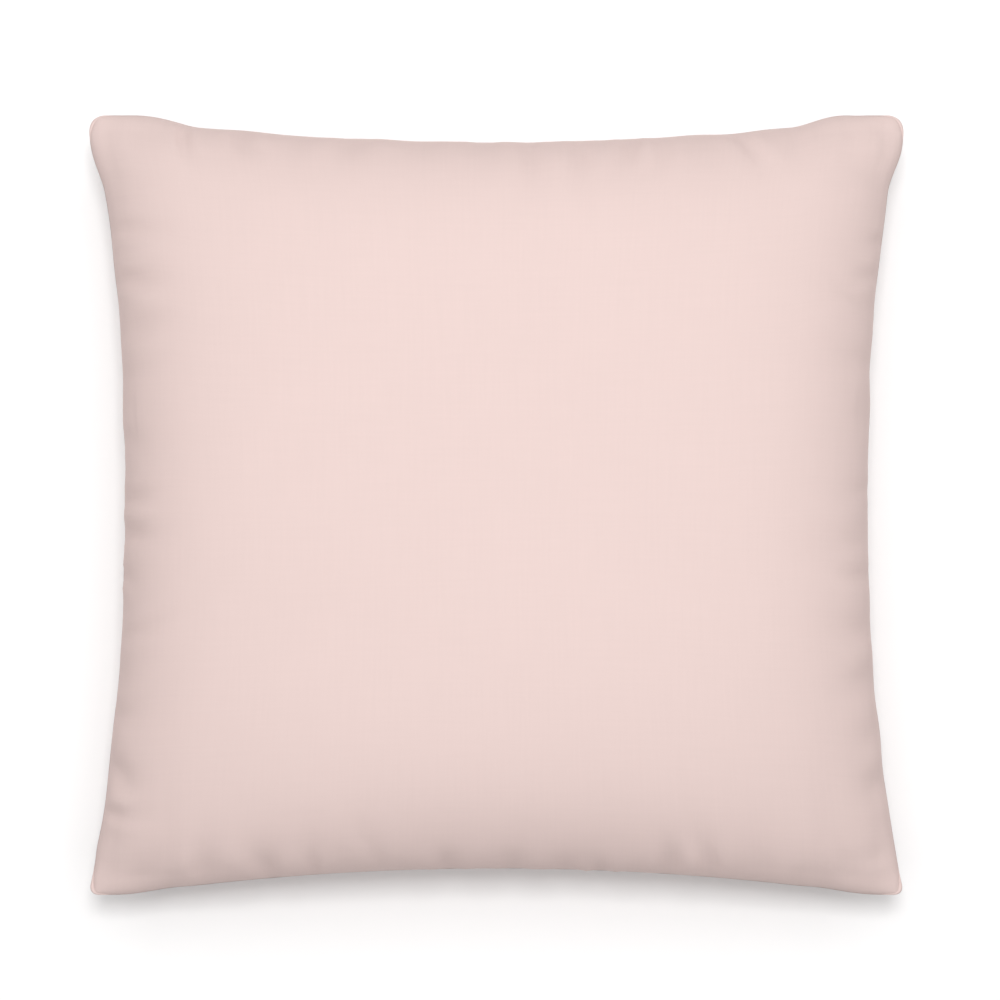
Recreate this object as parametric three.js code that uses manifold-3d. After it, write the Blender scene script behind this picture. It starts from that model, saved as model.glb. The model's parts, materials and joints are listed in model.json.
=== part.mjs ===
// Square decorative cushion, the kind a ring bearer carries: a removable cloth cover of two panels, seamed on
// three sides and zipped along the fourth, over a filled insert. It lies on its back panel.
//
// Frame: millimetres, +Z up, origin under the middle of the cushion on the surface it lies on. The seam plane is
// level. The zip runs along the -Y side, which is a shallow arc, so the slider turns about that arc's far centre.
import * as THREE from "three";
import { mergeVertices } from "three/addons/utils/BufferGeometryUtils.js";
import Module from "manifold-3d";

// ---- The filled cushion ----
const CUSHION_WIDTH = 445; // X, from corner to corner
const CUSHION_HEIGHT = 426; // Y, from corner to corner
const CROWN_RISE = 78; // the front panel's top above the seam plane
const BELLY_DROP = 76; // the back panel's depth below the seam plane, before it settles
const SEAM_LEVEL = 68; // the seam plane above the surface it lies on
const SETTLE_BLEND = 3; // how softly the back panel rolls onto that surface
const SIDE_DRAW_IN = 19.5; // how far the left and right sides pull in between their corners
const END_DRAW_IN = 14.8; // the same for the top and zip sides
const FULLNESS = 0.55; // power of the crown: lower is fuller at the edges
const CORNER_PULL = 0.015; // share by which the stitched corners are rounded off
const CORNER_POWER = 16; // how local that rounding is

// ---- Cover cloth and seams ----
const CLOTH = 0.8; // cover cloth
const ALLOWANCE = 10; // turned-in width of the seamed sides
const RIM_ROLL = 1.6; // lift of the cloth as it rolls up off its allowance
const ROLL_POWER = 60; // how local that lift is
const THREAD_RADIUS = 0.3;
const THREAD_CLEARANCE = 0.3; // between a seam's thread and the two allowances it joins
const THREAD_INSET = 1.3; // stitching inside the fold
const SEAM_GAP = 2 * (THREAD_RADIUS + THREAD_CLEARANCE);
const OVERLOCK_RADIUS = 0.4;
const OVERLOCK_CLEARANCE = 0.5; // overlock thread past the allowances' raw edges
const OVERLOCK_INSET = ALLOWANCE + OVERLOCK_CLEARANCE + OVERLOCK_RADIUS;

// ---- Zip: coils, tapes and stops ----
const WEB_HALF_WIDTH = 0.4; // the slider's divider between the two coils
const SLIDER_CLEARANCE = 0.4; // round the divider, coils and tapes
const COIL_WIDTH = 1.6;
const COIL_THICK = 1.6;
const COIL_INNER_EDGE = WEB_HALF_WIDTH + SLIDER_CLEARANCE; // from the seam plane
const COIL_OUTER_EDGE = COIL_INNER_EDGE + COIL_WIDTH;
const COIL_CLEARANCE = 0.3; // coil to tape
const COIL_END = 9; // bare tape past each end of the coils
const TAPE = 0.6;
const TAPE_WIDTH = 11.8;
const TAPE_SETBACK = 0.4; // tape's edge behind its coil's inner edge
const TAPE_INNER_EDGE = COIL_INNER_EDGE + TAPE_SETBACK;
const TAPE_OUTER_EDGE = TAPE_INNER_EDGE + TAPE_WIDTH;
const STOP_LENGTH = 3;
const STOP_CLEARANCE = 0.4;

// ---- Slider and pull ----
const SLIDER_LENGTH = 9;
const PLATE = 1.0;
const CHEEK = 0.8; // side walls beside the coils
const CHEEK_CLEARANCE = 0.5;
const SLIDER_HALF_WIDTH = COIL_OUTER_EDGE + CHEEK_CLEARANCE + CHEEK;
const PARK_GAP = 1.9; // slider to the closed end's stops
const PULL_LENGTH = 21.5;
const PULL_WIDTH = 5.0;
const PULL_THICK = 0.9;
const PULL_PLAY = 0.46; // round the pull's pivot bar as it turns inside the loop
const PLATE_PLAY = 0.36; // under that bar as it turns
const PIVOT_REACH = PULL_THICK * Math.SQRT1_2; // the square bar's corner from its own axis
const PIVOT_LIFT = PIVOT_REACH + PLATE_PLAY; // pivot above the outer plate
const LOOP_INNER = PIVOT_REACH + PULL_PLAY;
const LOOP_BAR = 0.9;
const LOOP_WIDTH = 1.6;
const WINDOW_CLEARANCE = 0.45; // round the loop, inside the pull's eye

// ---- Zip mouth in the -Y side ----
const CLOSED_SEAM = 60.8; // plain seam from the unrounded corner to the mouth
const MOUTH_CLOSING = 13; // length over which the mouth closes to a plain seam
const MOUTH_CLEARANCE = 0.9; // slider to each folded lip
const MOUTH_GAP = 2 * (SLIDER_HALF_WIDTH + MOUTH_CLEARANCE); // between the lips
const LIP_DEPTH = 7.0; // from the fold in to the tape
const LIP_CLEARANCE = 0.2; // lip's raw edge to the tape
const TAPE_FACE = LIP_DEPTH + LIP_CLEARANCE; // the tapes' outer face, inside the seam line
const TAPE_END_CLEARANCE = 4; // tapes short of the mouth's ends
const STITCH_RADIUS = 0.25;
const STITCH_CLEARANCE = 0.35; // lip stitching in front of the tape
const STITCH_SPACING = 1.0; // that stitching beyond the lip's cloth
const STITCH_LEVEL = MOUTH_GAP / 2 + CLOTH + STITCH_SPACING;

// ---- Insert ----
const CASE_CLOTH = 0.6;
const CASE_GAP = 0.6; // between the case's two edges, and round the filling
const CASE_THREAD_CLEARANCE = 0.6;
const INSERT_PLAY = 3.5; // insert's stitching inside the overlock thread
const INSERT_INSET =
  OVERLOCK_INSET + OVERLOCK_RADIUS + INSERT_PLAY + 2 * THREAD_RADIUS + CASE_THREAD_CLEARANCE;
const CROWN_PLAY = 1.4; // insert below the cover cloth at the crown
const INSERT_SLACK = CLOTH + CROWN_PLAY;
const INSERT_FLOOR_GAP = 0.6; // insert above the cover cloth, where both lie flat
const FILL_INSET = 3; // filling inside the insert's seam
const CLOSING_HALF_LENGTH = 60; // the hand-filled gap in the insert's seam, sewn last

// ---- Care label ----
const LABEL_WIDTH = 24;
const LABEL_HEIGHT = 11;
const LABEL_THICK = 0.4;
const LABEL_ALONG = 110;
const LABEL_CLEARANCE = 1.8; // behind the tape
const LABEL_LIFT = 2; // its lower edge above the seam plane

// ---- Fineness of the faceted solids ----
const CELLS_MOUTH = 7;
const CELLS_FLARE = 4;
const CELLS_DEEP = 20;
const CELLS_INSERT = 14;
const ARC_STEPS = 16;
const THREAD_SIDES = 5;

const wasm = await Module();
wasm.setup();

// ---- Plan of the seam line ----

/** Farthest reach of a side that sweeps out from `middle` to `half` at corners that are then rounded off. */
function reachOf(middle, half) {
  let best = 0;
  for (let t = 0.8; t <= 1; t += 0.001) {
    const pulled = 1 - CORNER_PULL * Math.pow(t, CORNER_POWER);
    best = Math.max(best, (middle + (half - middle) * t * t) * pulled);
  }
  return best;
}

/** Half-size to the unrounded corner that gives the wanted corner-to-corner size. */
function cornerHalf(size, draw) {
  let half = size / 2;
  for (let pass = 0; pass < 12; pass += 1) half += size / 2 - reachOf(size / 2 - draw, half);
  return half;
}

const HALF_X = cornerHalf(CUSHION_WIDTH, SIDE_DRAW_IN);
const HALF_Y = cornerHalf(CUSHION_HEIGHT, END_DRAW_IN);
const SIDE_SWEEP = HALF_X - (CUSHION_WIDTH / 2 - SIDE_DRAW_IN);
const END_SWEEP = HALF_Y - (CUSHION_HEIGHT / 2 - END_DRAW_IN);
const ARC_RADIUS = (HALF_X * HALF_X + END_SWEEP * END_SWEEP) / (2 * END_SWEEP);
const ARC_CENTRE_Y = -(HALF_Y - END_SWEEP) - ARC_RADIUS;
const MOUTH_HALF_LENGTH = HALF_X - CLOSED_SEAM;
const TAPE_HALF_LENGTH = MOUTH_HALF_LENGTH - TAPE_END_CLEARANCE;
const COIL_HALF_LENGTH = TAPE_HALF_LENGTH - COIL_END;

/** Plan position of the point (u, v), each from -1 to 1, of the cover. */
function plan(u, v) {
  const round = 1 - CORNER_PULL * Math.pow(Math.abs(u * v), CORNER_POWER);
  const x = u * (HALF_X - SIDE_SWEEP * (1 - v * v));
  const reach = HALF_Y - END_SWEEP + ARC_RADIUS - Math.sqrt(ARC_RADIUS * ARC_RADIUS - x * x);
  return new THREE.Vector2(x * round, v * reach * round);
}

/** The same plan drawn in evenly towards the middle by about `inset`. */
function drawnIn(point, inset) {
  return new THREE.Vector2(point.x * (1 - inset / HALF_X), point.y * (1 - inset / HALF_Y));
}

function smooth(t) {
  const c = THREE.MathUtils.clamp(t, 0, 1);
  return c * c * (3 - 2 * c);
}

/** 1 along the zip mouth, 0 where the seam is closed. */
function mouthAt(x) {
  return 1 - smooth((Math.abs(x) - MOUTH_HALF_LENGTH) / MOUTH_CLOSING);
}

/** Half the gap between the panels, which widens into the zip mouth at the -Y side. */
function halfGap(point, v) {
  const nearness = Math.pow((1 - v) / 2, 8);
  return SEAM_GAP / 2 + ((MOUTH_GAP - SEAM_GAP) / 2) * mouthAt(point.x) * nearness;
}

function crown(u, v) {
  return Math.pow(Math.max(0, (1 - u * u) * (1 - v * v)), FULLNESS);
}

/** Height above the surface the cushion lies on: exactly level where it touches. */
function settle(height) {
  if (height <= -SETTLE_BLEND) return 0;
  if (height >= SETTLE_BLEND) return height;
  return (height + SETTLE_BLEND) ** 2 / (4 * SETTLE_BLEND);
}

// ---- Stations ----

/** Stations from -1 to 1 that crowd towards both ends. */
function crowded(cells) {
  const list = [];
  for (let k = 0; k <= cells; k += 1) list.push(Math.sin(((k / cells) * 2 - 1) * (Math.PI / 2)));
  return list;
}

/** Stations across the cover, with lines exactly at the ends of the zip mouth. */
function acrossCover() {
  const mouth = MOUTH_HALF_LENGTH / HALF_X;
  const shut = (MOUTH_HALF_LENGTH + MOUTH_CLOSING) / HALF_X;
  const half = [];
  for (let k = 1; k <= CELLS_MOUTH; k += 1) half.push((mouth * k) / CELLS_MOUTH);
  half.push(shut);
  for (let k = 1; k <= CELLS_FLARE; k += 1) {
    half.push(shut + (1 - shut) * Math.sin(((k / CELLS_FLARE) * Math.PI) / 2));
  }
  return [...half.map((t) => -t).reverse(), 0, ...half];
}

const COVER_U = acrossCover();
const COVER_V = crowded(CELLS_DEEP);

// ---- Mesh building ----

/** A closed geometry from points and faces, with its faces pointing out. */
function closedGeometry(points, faces) {
  let volume = 0;
  for (const [a, b, c] of faces) {
    volume += points[a].dot(new THREE.Vector3().crossVectors(points[b], points[c]));
  }
  const order = volume < 0 ? faces.map(([a, b, c]) => [a, c, b]) : faces;
  const geometry = new THREE.BufferGeometry().setFromPoints(points);
  geometry.setIndex(order.flat());
  geometry.computeVertexNormals();
  return geometry;
}

/** Faces of a grid of points, with diagonals that run towards the middle. */
function gridFaces(us, vs, index) {
  const faces = [];
  for (let i = 0; i + 1 < us.length; i += 1) {
    for (let j = 0; j + 1 < vs.length; j += 1) {
      const a = index(i, j);
      const b = index(i + 1, j);
      const c = index(i + 1, j + 1);
      const d = index(i, j + 1);
      if ((us[i] + us[i + 1]) * (vs[j] + vs[j + 1]) >= 0) faces.push([a, b, c], [a, c, d]);
      else faces.push([a, b, d], [b, c, d]);
    }
  }
  return faces;
}

/** Grid indices of the rim, once round from the corner (-1, -1). */
function rimOf(us, vs) {
  const rim = [];
  const m = us.length - 1;
  const n = vs.length - 1;
  for (let i = 0; i < m; i += 1) rim.push([i, 0]);
  for (let j = 0; j < n; j += 1) rim.push([m, j]);
  for (let i = m; i > 0; i -= 1) rim.push([i, n]);
  for (let j = n; j > 0; j -= 1) rim.push([0, j]);
  return rim;
}

/**
 * A cloth shell: the outer face `outer(i, j)`, an inner face one cloth thickness behind it, and the rim's cross
 * section `turns(i, j, point)`, a list of points from the outer edge to the inner one.
 */
function clothShell(us, vs, outer, cloth, side, turns) {
  const wide = vs.length;
  const index = (i, j) => i * wide + j;
  const points = [];
  for (let i = 0; i < us.length; i += 1) {
    for (let j = 0; j < wide; j += 1) points.push(outer(i, j));
  }
  const face = new THREE.BufferGeometry().setFromPoints(points);
  const faces = gridFaces(us, vs, index);
  face.setIndex(faces.flat());
  face.computeVertexNormals();
  const normals = face.getAttribute("normal");
  const under = points.map((point, k) => {
    const normal = new THREE.Vector3().fromBufferAttribute(normals, k);
    if (normal.z * side < 0) normal.negate();
    return point.clone().addScaledVector(normal, -cloth);
  });
  const rim = rimOf(us, vs);
  const start = points.length;
  const rings = rim.map(([i, j]) => turns(i, j, points[index(i, j)]));
  const depth = rings[0].length;
  rim.forEach(([i, j], k) => under.splice(index(i, j), 1, rings[k][depth - 1]));
  points.push(...under);
  for (const [a, b, c] of gridFaces(us, vs, index)) faces.push([start + a, start + c, start + b]);
  const first = points.length;
  for (const ring of rings) points.push(...ring.slice(0, depth - 1));
  const at = (k, level) => {
    const [i, j] = rim[k % rim.length];
    if (level === 0) return index(i, j);
    if (level === depth) return start + index(i, j);
    return first + (k % rim.length) * (depth - 1) + level - 1;
  };
  for (let k = 0; k < rim.length; k += 1) {
    for (let level = 0; level < depth; level += 1) {
      const [a, b] = [at(k, level), at(k + 1, level)];
      const [c, d] = [at(k + 1, level + 1), at(k, level + 1)];
      faces.push([a, c, b], [a, d, c]);
    }
  }
  return closedGeometry(points, faces);
}

/** A solid skinned over equal cross sections, capped at both ends unless it closes on itself. */
function skinned(sections, closed = false) {
  const count = sections[0].length;
  const points = sections.flat();
  const faces = [];
  const spans = closed ? sections.length : sections.length - 1;
  for (let s = 0; s < spans; s += 1) {
    const next = (s + 1) % sections.length;
    for (let k = 0; k < count; k += 1) {
      const a = s * count + k;
      const b = s * count + ((k + 1) % count);
      const c = next * count + ((k + 1) % count);
      const d = next * count + k;
      faces.push([a, b, c], [a, c, d]);
    }
  }
  if (!closed) {
    const last = (sections.length - 1) * count;
    for (let k = 1; k + 1 < count; k += 1) {
      faces.push([0, k + 1, k], [last, last + k, last + k + 1]);
    }
  }
  return closedGeometry(points, faces);
}

const root = new THREE.Group();
root.name = "cushion";

function addPiece(name, geometry, material, parent = root) {
  const mesh = new THREE.Mesh(geometry, material);
  mesh.name = name;
  parent.add(mesh);
  return mesh;
}

const finish = (color, roughness, metalness = 0) =>
  new THREE.MeshStandardMaterial({ color, roughness, metalness });

const coverCloth = () => finish(0xeed6d0, 0.85);
const coverThread = () => finish(0xe6c9c2, 0.7);
const zipTape = () => finish(0xe3c6bf, 0.8);
const zipCoil = () => finish(0xdebfb8, 0.5);
const nickel = () => finish(0xc9c6c2, 0.3, 1);
const caseCloth = () => finish(0xf4f3f0, 0.9);
const filling = () => finish(0xfbfbf9, 1);
const caseThread = () => finish(0xf0efec, 0.7);
const labelSatin = () => finish(0xfafafa, 0.45);

// ---- Cover panels ----

/** One cover panel: side is 1 for the front, -1 for the back. */
function coverPanel(side) {
  const bulge = side > 0 ? CROWN_RISE : BELLY_DROP;
  const outer = (i, j) => {
    const [u, v] = [COVER_U[i], COVER_V[j]];
    const at = plan(u, v);
    const gap = halfGap(at, v);
    const roll = RIM_ROLL * (1 - Math.pow(Math.max(Math.abs(u), Math.abs(v)), ROLL_POWER));
    const away = gap + (bulge - gap - RIM_ROLL) * crown(u, v) + roll;
    const height = SEAM_LEVEL + side * away;
    return new THREE.Vector3(at.x, at.y, side > 0 ? height : settle(height));
  };
  const turns = (i, j, edge) => {
    const onZipSide = j === 0 ? mouthAt(edge.x) : 0;
    const depth = THREE.MathUtils.lerp(ALLOWANCE, LIP_DEPTH, onZipSide);
    const tip = drawnIn(edge, depth);
    const crotch = drawnIn(edge, CLOTH * 1.5);
    const level = edge.z + side * CLOTH;
    return [
      new THREE.Vector3(tip.x, tip.y, edge.z),
      new THREE.Vector3(tip.x, tip.y, level),
      new THREE.Vector3(crotch.x, crotch.y, level),
    ];
  };
  return clothShell(COVER_U, COVER_V, outer, CLOTH, side, turns);
}

addPiece("front_panel", coverPanel(1), coverCloth());
addPiece("back_panel", coverPanel(-1), coverCloth());

// ---- Stitching that follows the seam line ----

/** Round thread through `stops`, plan points on the seam line, drawn in by `inset`. */
function seamThread(stops, inset, radius, closed = false) {
  const sections = stops.map((stop) => {
    const section = [];
    for (let k = 0; k < THREAD_SIDES; k += 1) {
      const turn = (k / THREAD_SIDES) * Math.PI * 2;
      const at = drawnIn(stop, inset + radius * Math.cos(turn));
      section.push(new THREE.Vector3(at.x, at.y, SEAM_LEVEL + radius * Math.sin(turn)));
    }
    return section;
  });
  return skinned(sections, closed);
}

/** Point on the straight piece of seam between two stations. */
function between(from, to, share) {
  return new THREE.Vector2().lerpVectors(from, to, share);
}

/** Seam line up the left side, across the top and down the right, clear of the zip side's own stitching. */
function threeSides() {
  const stops = [];
  const [m, n] = [COVER_U.length - 1, COVER_V.length - 1];
  stops.push(between(plan(-1, COVER_V[0]), plan(-1, COVER_V[1]), 0.9));
  for (let j = 1; j <= n; j += 1) stops.push(plan(-1, COVER_V[j]));
  for (let i = 1; i <= m; i += 1) stops.push(plan(COVER_U[i], 1));
  for (let j = n - 1; j >= 1; j -= 1) stops.push(plan(1, COVER_V[j]));
  stops.push(between(plan(1, COVER_V[0]), plan(1, COVER_V[1]), 0.9));
  return stops;
}

/** Seam line along the zip side from the mouth's end to the corner: side is -1 for the left, 1 for the right. */
function besideMouth(side) {
  const stops = [];
  for (let i = 0; i <= CELLS_FLARE; i += 1) {
    const at = side < 0 ? CELLS_FLARE - i : COVER_U.length - 1 - CELLS_FLARE + i;
    stops.push(plan(COVER_U[at], -1));
  }
  stops[0] = between(stops[0], stops[1], 0.1);
  return stops;
}

addPiece("seam_thread_sides", seamThread(threeSides(), THREAD_INSET, THREAD_RADIUS), coverThread());
addPiece("overlock_thread_sides", seamThread(threeSides(), OVERLOCK_INSET, OVERLOCK_RADIUS), coverThread());
addPiece("seam_thread_zip_left", seamThread(besideMouth(-1), THREAD_INSET, THREAD_RADIUS), coverThread());
addPiece("seam_thread_zip_right", seamThread(besideMouth(1), THREAD_INSET, THREAD_RADIUS), coverThread());

// ---- Zip, laid along the arc of the -Y side ----

/** Point at `along` the seam arc, `inward` of it and `level` above the seam plane. */
function onArc(along, inward, level) {
  const turn = along / ARC_RADIUS;
  const radius = ARC_RADIUS + inward;
  return new THREE.Vector3(radius * Math.sin(turn), ARC_CENTRE_Y + radius * Math.cos(turn), SEAM_LEVEL + level);
}

/** A strip whose cross section is a list of [inward, level], from one place along the arc to another. */
function arcStrip(section, from, to, steps) {
  const sections = [];
  for (let s = 0; s <= steps; s += 1) {
    const along = THREE.MathUtils.lerp(from, to, s / steps);
    sections.push(section.map(([inward, level]) => onArc(along, inward, level)));
  }
  return skinned(sections);
}

const boxSection = (near, far, low, high) => [
  [near, low],
  [far, low],
  [far, high],
  [near, high],
];

const COIL_BACK = TAPE_FACE - COIL_CLEARANCE;
const COIL_FRONT = COIL_BACK - COIL_THICK;

/** A coil's flattened section: level where it lies on its tape, rounded in front. */
function coilSection(side) {
  const [near, far] = [COIL_INNER_EDGE, COIL_OUTER_EDGE].map((edge) => side * edge);
  const quarter = (far - near) / 4;
  return [
    [COIL_BACK, near],
    [COIL_BACK, far],
    [COIL_FRONT + COIL_THICK / 3, far],
    [COIL_FRONT, far - quarter],
    [COIL_FRONT, near + quarter],
    [COIL_FRONT + COIL_THICK / 3, near],
  ];
}

for (const [word, side] of [
  ["front", 1],
  ["back", -1],
]) {
  const tapeLevels = [side * TAPE_INNER_EDGE, side * TAPE_OUTER_EDGE];
  const tape = boxSection(TAPE_FACE, TAPE_FACE + TAPE, ...tapeLevels);
  addPiece(`zip_tape_${word}`, arcStrip(tape, -TAPE_HALF_LENGTH, TAPE_HALF_LENGTH, ARC_STEPS), zipTape());
  const coil = arcStrip(coilSection(side), -COIL_HALF_LENGTH, COIL_HALF_LENGTH, ARC_STEPS);
  addPiece(`zip_coil_${word}`, coil, zipCoil());
  const stitch = [];
  for (let k = 0; k < THREAD_SIDES; k += 1) {
    const turn = (k / THREAD_SIDES) * Math.PI * 2;
    stitch.push([
      TAPE_FACE - STITCH_CLEARANCE - STITCH_RADIUS + STITCH_RADIUS * Math.cos(turn),
      side * STITCH_LEVEL + STITCH_RADIUS * Math.sin(turn),
    ]);
  }
  addPiece(`zip_stitch_${word}`, arcStrip(stitch, -TAPE_HALF_LENGTH, TAPE_HALF_LENGTH, ARC_STEPS), coverThread());
  const topStop = boxSection(COIL_FRONT, COIL_BACK, side * COIL_INNER_EDGE, side * COIL_OUTER_EDGE);
  const stopFrom = COIL_HALF_LENGTH + STOP_CLEARANCE;
  addPiece(`zip_top_stop_${word}`, arcStrip(topStop, -stopFrom - STOP_LENGTH, -stopFrom, 1), nickel());
}

const bottomStop = boxSection(COIL_FRONT, COIL_BACK, -COIL_OUTER_EDGE, COIL_OUTER_EDGE);
const bottomStopFrom = COIL_HALF_LENGTH + STOP_CLEARANCE;
addPiece("zip_bottom_stop", arcStrip(bottomStop, bottomStopFrom, bottomStopFrom + STOP_LENGTH, 1), nickel());

// ---- Slider, built round the seam arc and parked at the closed end ----

/** A three.js solid as a manifold one, turned out if its winding points in. */
function toSolid(geometry) {
  const bare = geometry.clone();
  bare.deleteAttribute("normal");
  bare.deleteAttribute("uv");
  const merged = mergeVertices(bare, 1e-4);
  const build = (triVerts) =>
    new wasm.Manifold(
      new wasm.Mesh({ numProp: 3, vertProperties: merged.attributes.position.array, triVerts }),
    );
  const triVerts = new Uint32Array(merged.index.array);
  const made = build(triVerts);
  if (made.volume() > 0) return made;
  for (let k = 0; k < triVerts.length; k += 3) {
    [triVerts[k + 1], triVerts[k + 2]] = [triVerts[k + 2], triVerts[k + 1]];
  }
  return build(triVerts);
}

function toGeometry(solid) {
  const mesh = solid.getMesh();
  const geometry = new THREE.BufferGeometry();
  geometry.setAttribute("position", new THREE.BufferAttribute(mesh.vertProperties, 3));
  geometry.setIndex(new THREE.BufferAttribute(mesh.triVerts, 1));
  geometry.computeVertexNormals();
  return geometry;
}

/** An outline of [x, y] corners pushed out evenly to both sides of its plane. */
function slab(outline, thick, holes = []) {
  const shape = new THREE.Shape(outline.map(([x, y]) => new THREE.Vector2(x, y)));
  for (const hole of holes) shape.holes.push(new THREE.Path(hole.map(([x, y]) => new THREE.Vector2(x, y))));
  const geometry = new THREE.ExtrudeGeometry(shape, { depth: thick, bevelEnabled: false, steps: 1 });
  return geometry.translate(0, 0, -thick / 2);
}

// The slider's own frame: x along the zip, y inwards from the seam line, z across the zip.
const PLATE_BACK = COIL_FRONT - SLIDER_CLEARANCE;
const PLATE_FRONT = PLATE_BACK - PLATE;
const INNER_PLATE_FRONT = TAPE_FACE + TAPE + SLIDER_CLEARANCE;
const CHEEK_BACK = TAPE_FACE - SLIDER_CLEARANCE;
const PIVOT_INWARD = PLATE_FRONT - PIVOT_LIFT;

/** Cross section across the zip: outer plate with two cheeks, divider, inner plate. */
function sliderSection() {
  const [w, c] = [SLIDER_HALF_WIDTH, SLIDER_HALF_WIDTH - CHEEK];
  const d = WEB_HALF_WIDTH;
  const right = [
    [w, PLATE_FRONT],
    [w, CHEEK_BACK],
    [c, CHEEK_BACK],
    [c, PLATE_BACK],
    [d, PLATE_BACK],
    [d, INNER_PLATE_FRONT],
    [c, INNER_PLATE_FRONT],
    [c, INNER_PLATE_FRONT + PLATE],
  ];
  return [...right, ...right.map(([x, y]) => [-x, y]).reverse()];
}

/** The half ring that holds the pull, with feet that run into the outer plate. */
function loopOutline() {
  const outer = LOOP_INNER + LOOP_BAR;
  const foot = PLATE_FRONT + PLATE / 2;
  const outline = [[outer, foot]];
  const steps = 10;
  for (let k = 0; k <= steps; k += 1) {
    const turn = (k / steps) * Math.PI;
    outline.push([outer * Math.cos(turn), PIVOT_INWARD - outer * Math.sin(turn)]);
  }
  outline.push([-outer, foot], [-LOOP_INNER, foot]);
  for (let k = steps; k >= 0; k -= 1) {
    const turn = (k / steps) * Math.PI;
    outline.push([LOOP_INNER * Math.cos(turn), PIVOT_INWARD - LOOP_INNER * Math.sin(turn)]);
  }
  outline.push([LOOP_INNER, foot]);
  return outline;
}

const body = slab(sliderSection(), SLIDER_LENGTH).rotateY(Math.PI / 2);
const loop = slab(loopOutline(), LOOP_WIDTH);
const sliderGeometry = toGeometry(toSolid(body).add(toSolid(loop)));

const PARKED_AT = -(COIL_HALF_LENGTH + STOP_CLEARANCE - PARK_GAP - SLIDER_LENGTH / 2);
const slider = new THREE.Group();
slider.position.copy(onArc(PARKED_AT, 0, 0));
slider.rotation.z = -PARKED_AT / ARC_RADIUS;
root.add(slider);
addPiece("zip_slider", sliderGeometry, nickel(), slider);

/** The pull: a flat tab with an eye at its pivot end and a finger hole at the other. */
function pullGeometry() {
  const [back, tip] = [-PULL_THICK / 2, PULL_LENGTH];
  const half = PULL_WIDTH / 2;
  const outline = [
    [back, -half + 0.8],
    [back + 0.8, -half],
    [tip - half, -half],
  ];
  for (let k = 1; k < 6; k += 1) {
    const turn = (k / 6 - 0.5) * Math.PI;
    outline.push([tip - half + half * Math.cos(turn), half * Math.sin(turn)]);
  }
  outline.push([tip - half, half], [back + 0.8, half], [back, half - 0.8]);
  const eye = {
    from: PULL_THICK / 2,
    to: LOOP_INNER + LOOP_BAR + WINDOW_CLEARANCE,
    half: LOOP_WIDTH / 2 + WINDOW_CLEARANCE,
  };
  const window = [
    [eye.from, -eye.half],
    [eye.from, eye.half],
    [eye.to, eye.half],
    [eye.to, -eye.half],
  ];
  const grip = [];
  for (let k = 0; k < 10; k += 1) {
    const turn = (-k / 10) * Math.PI * 2;
    grip.push([tip - half - 0.6 + 1.2 * Math.cos(turn), 1.2 * Math.sin(turn)]);
  }
  return slab(outline, PULL_THICK, [window, grip]).rotateX(Math.PI / 2);
}

const pull = new THREE.Group();
pull.position.y = PIVOT_INWARD;
slider.add(pull);
addPiece("zip_pull_tab", toGeometry(toSolid(pullGeometry())), nickel(), pull);

// ---- Insert: its own case, seam and filling ----

const INSERT_STATIONS = crowded(CELLS_INSERT);
const FLOOR = CLOTH + INSERT_FLOOR_GAP;

/** A point of the insert's family of surfaces: `deep` inside the insert's outer face. */
function insertPoint(u, v, side, inset, deep, rimGap) {
  const at = drawnIn(plan(u, v), inset);
  const bulge = (side > 0 ? CROWN_RISE : BELLY_DROP) - INSERT_SLACK - deep;
  const height = SEAM_LEVEL + side * (rimGap + (bulge - rimGap) * crown(u, v));
  const floor = FLOOR + deep;
  return new THREE.Vector3(at.x, at.y, side > 0 ? height : floor + settle(height - floor));
}

function insertCase(side) {
  const outer = (i, j) =>
    insertPoint(INSERT_STATIONS[i], INSERT_STATIONS[j], side, INSERT_INSET, 0, CASE_GAP / 2);
  const turns = (i, j, edge) => {
    const inner = drawnIn(edge, CASE_CLOTH * 1.5);
    return [new THREE.Vector3(inner.x, inner.y, edge.z)];
  };
  return clothShell(INSERT_STATIONS, INSERT_STATIONS, outer, CASE_CLOTH, side, turns);
}

addPiece("insert_case_front", insertCase(1), caseCloth());
addPiece("insert_case_back", insertCase(-1), caseCloth());

/** The filling: one soft block between the two halves of the case. */
function fillGeometry() {
  const us = INSERT_STATIONS;
  const deep = CASE_CLOTH + CASE_GAP;
  const inset = INSERT_INSET + FILL_INSET;
  const points = [];
  const index = (i, j) => i * us.length + j;
  for (const side of [1, -1]) {
    for (const u of us) for (const v of us) points.push(insertPoint(u, v, side, inset, deep, 0));
  }
  const half = us.length * us.length;
  const top = gridFaces(us, us, index);
  const rim = new Set(rimOf(us, us).map(([i, j]) => index(i, j)));
  const under = (k) => (rim.has(k) ? k : k + half);
  return closedGeometry(points, [...top, ...top.map(([a, b, c]) => [under(a), under(c), under(b)])]);
}

const fill = fillGeometry();
addPiece("insert_fill", toGeometry(toSolid(fill)), filling());

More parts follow.
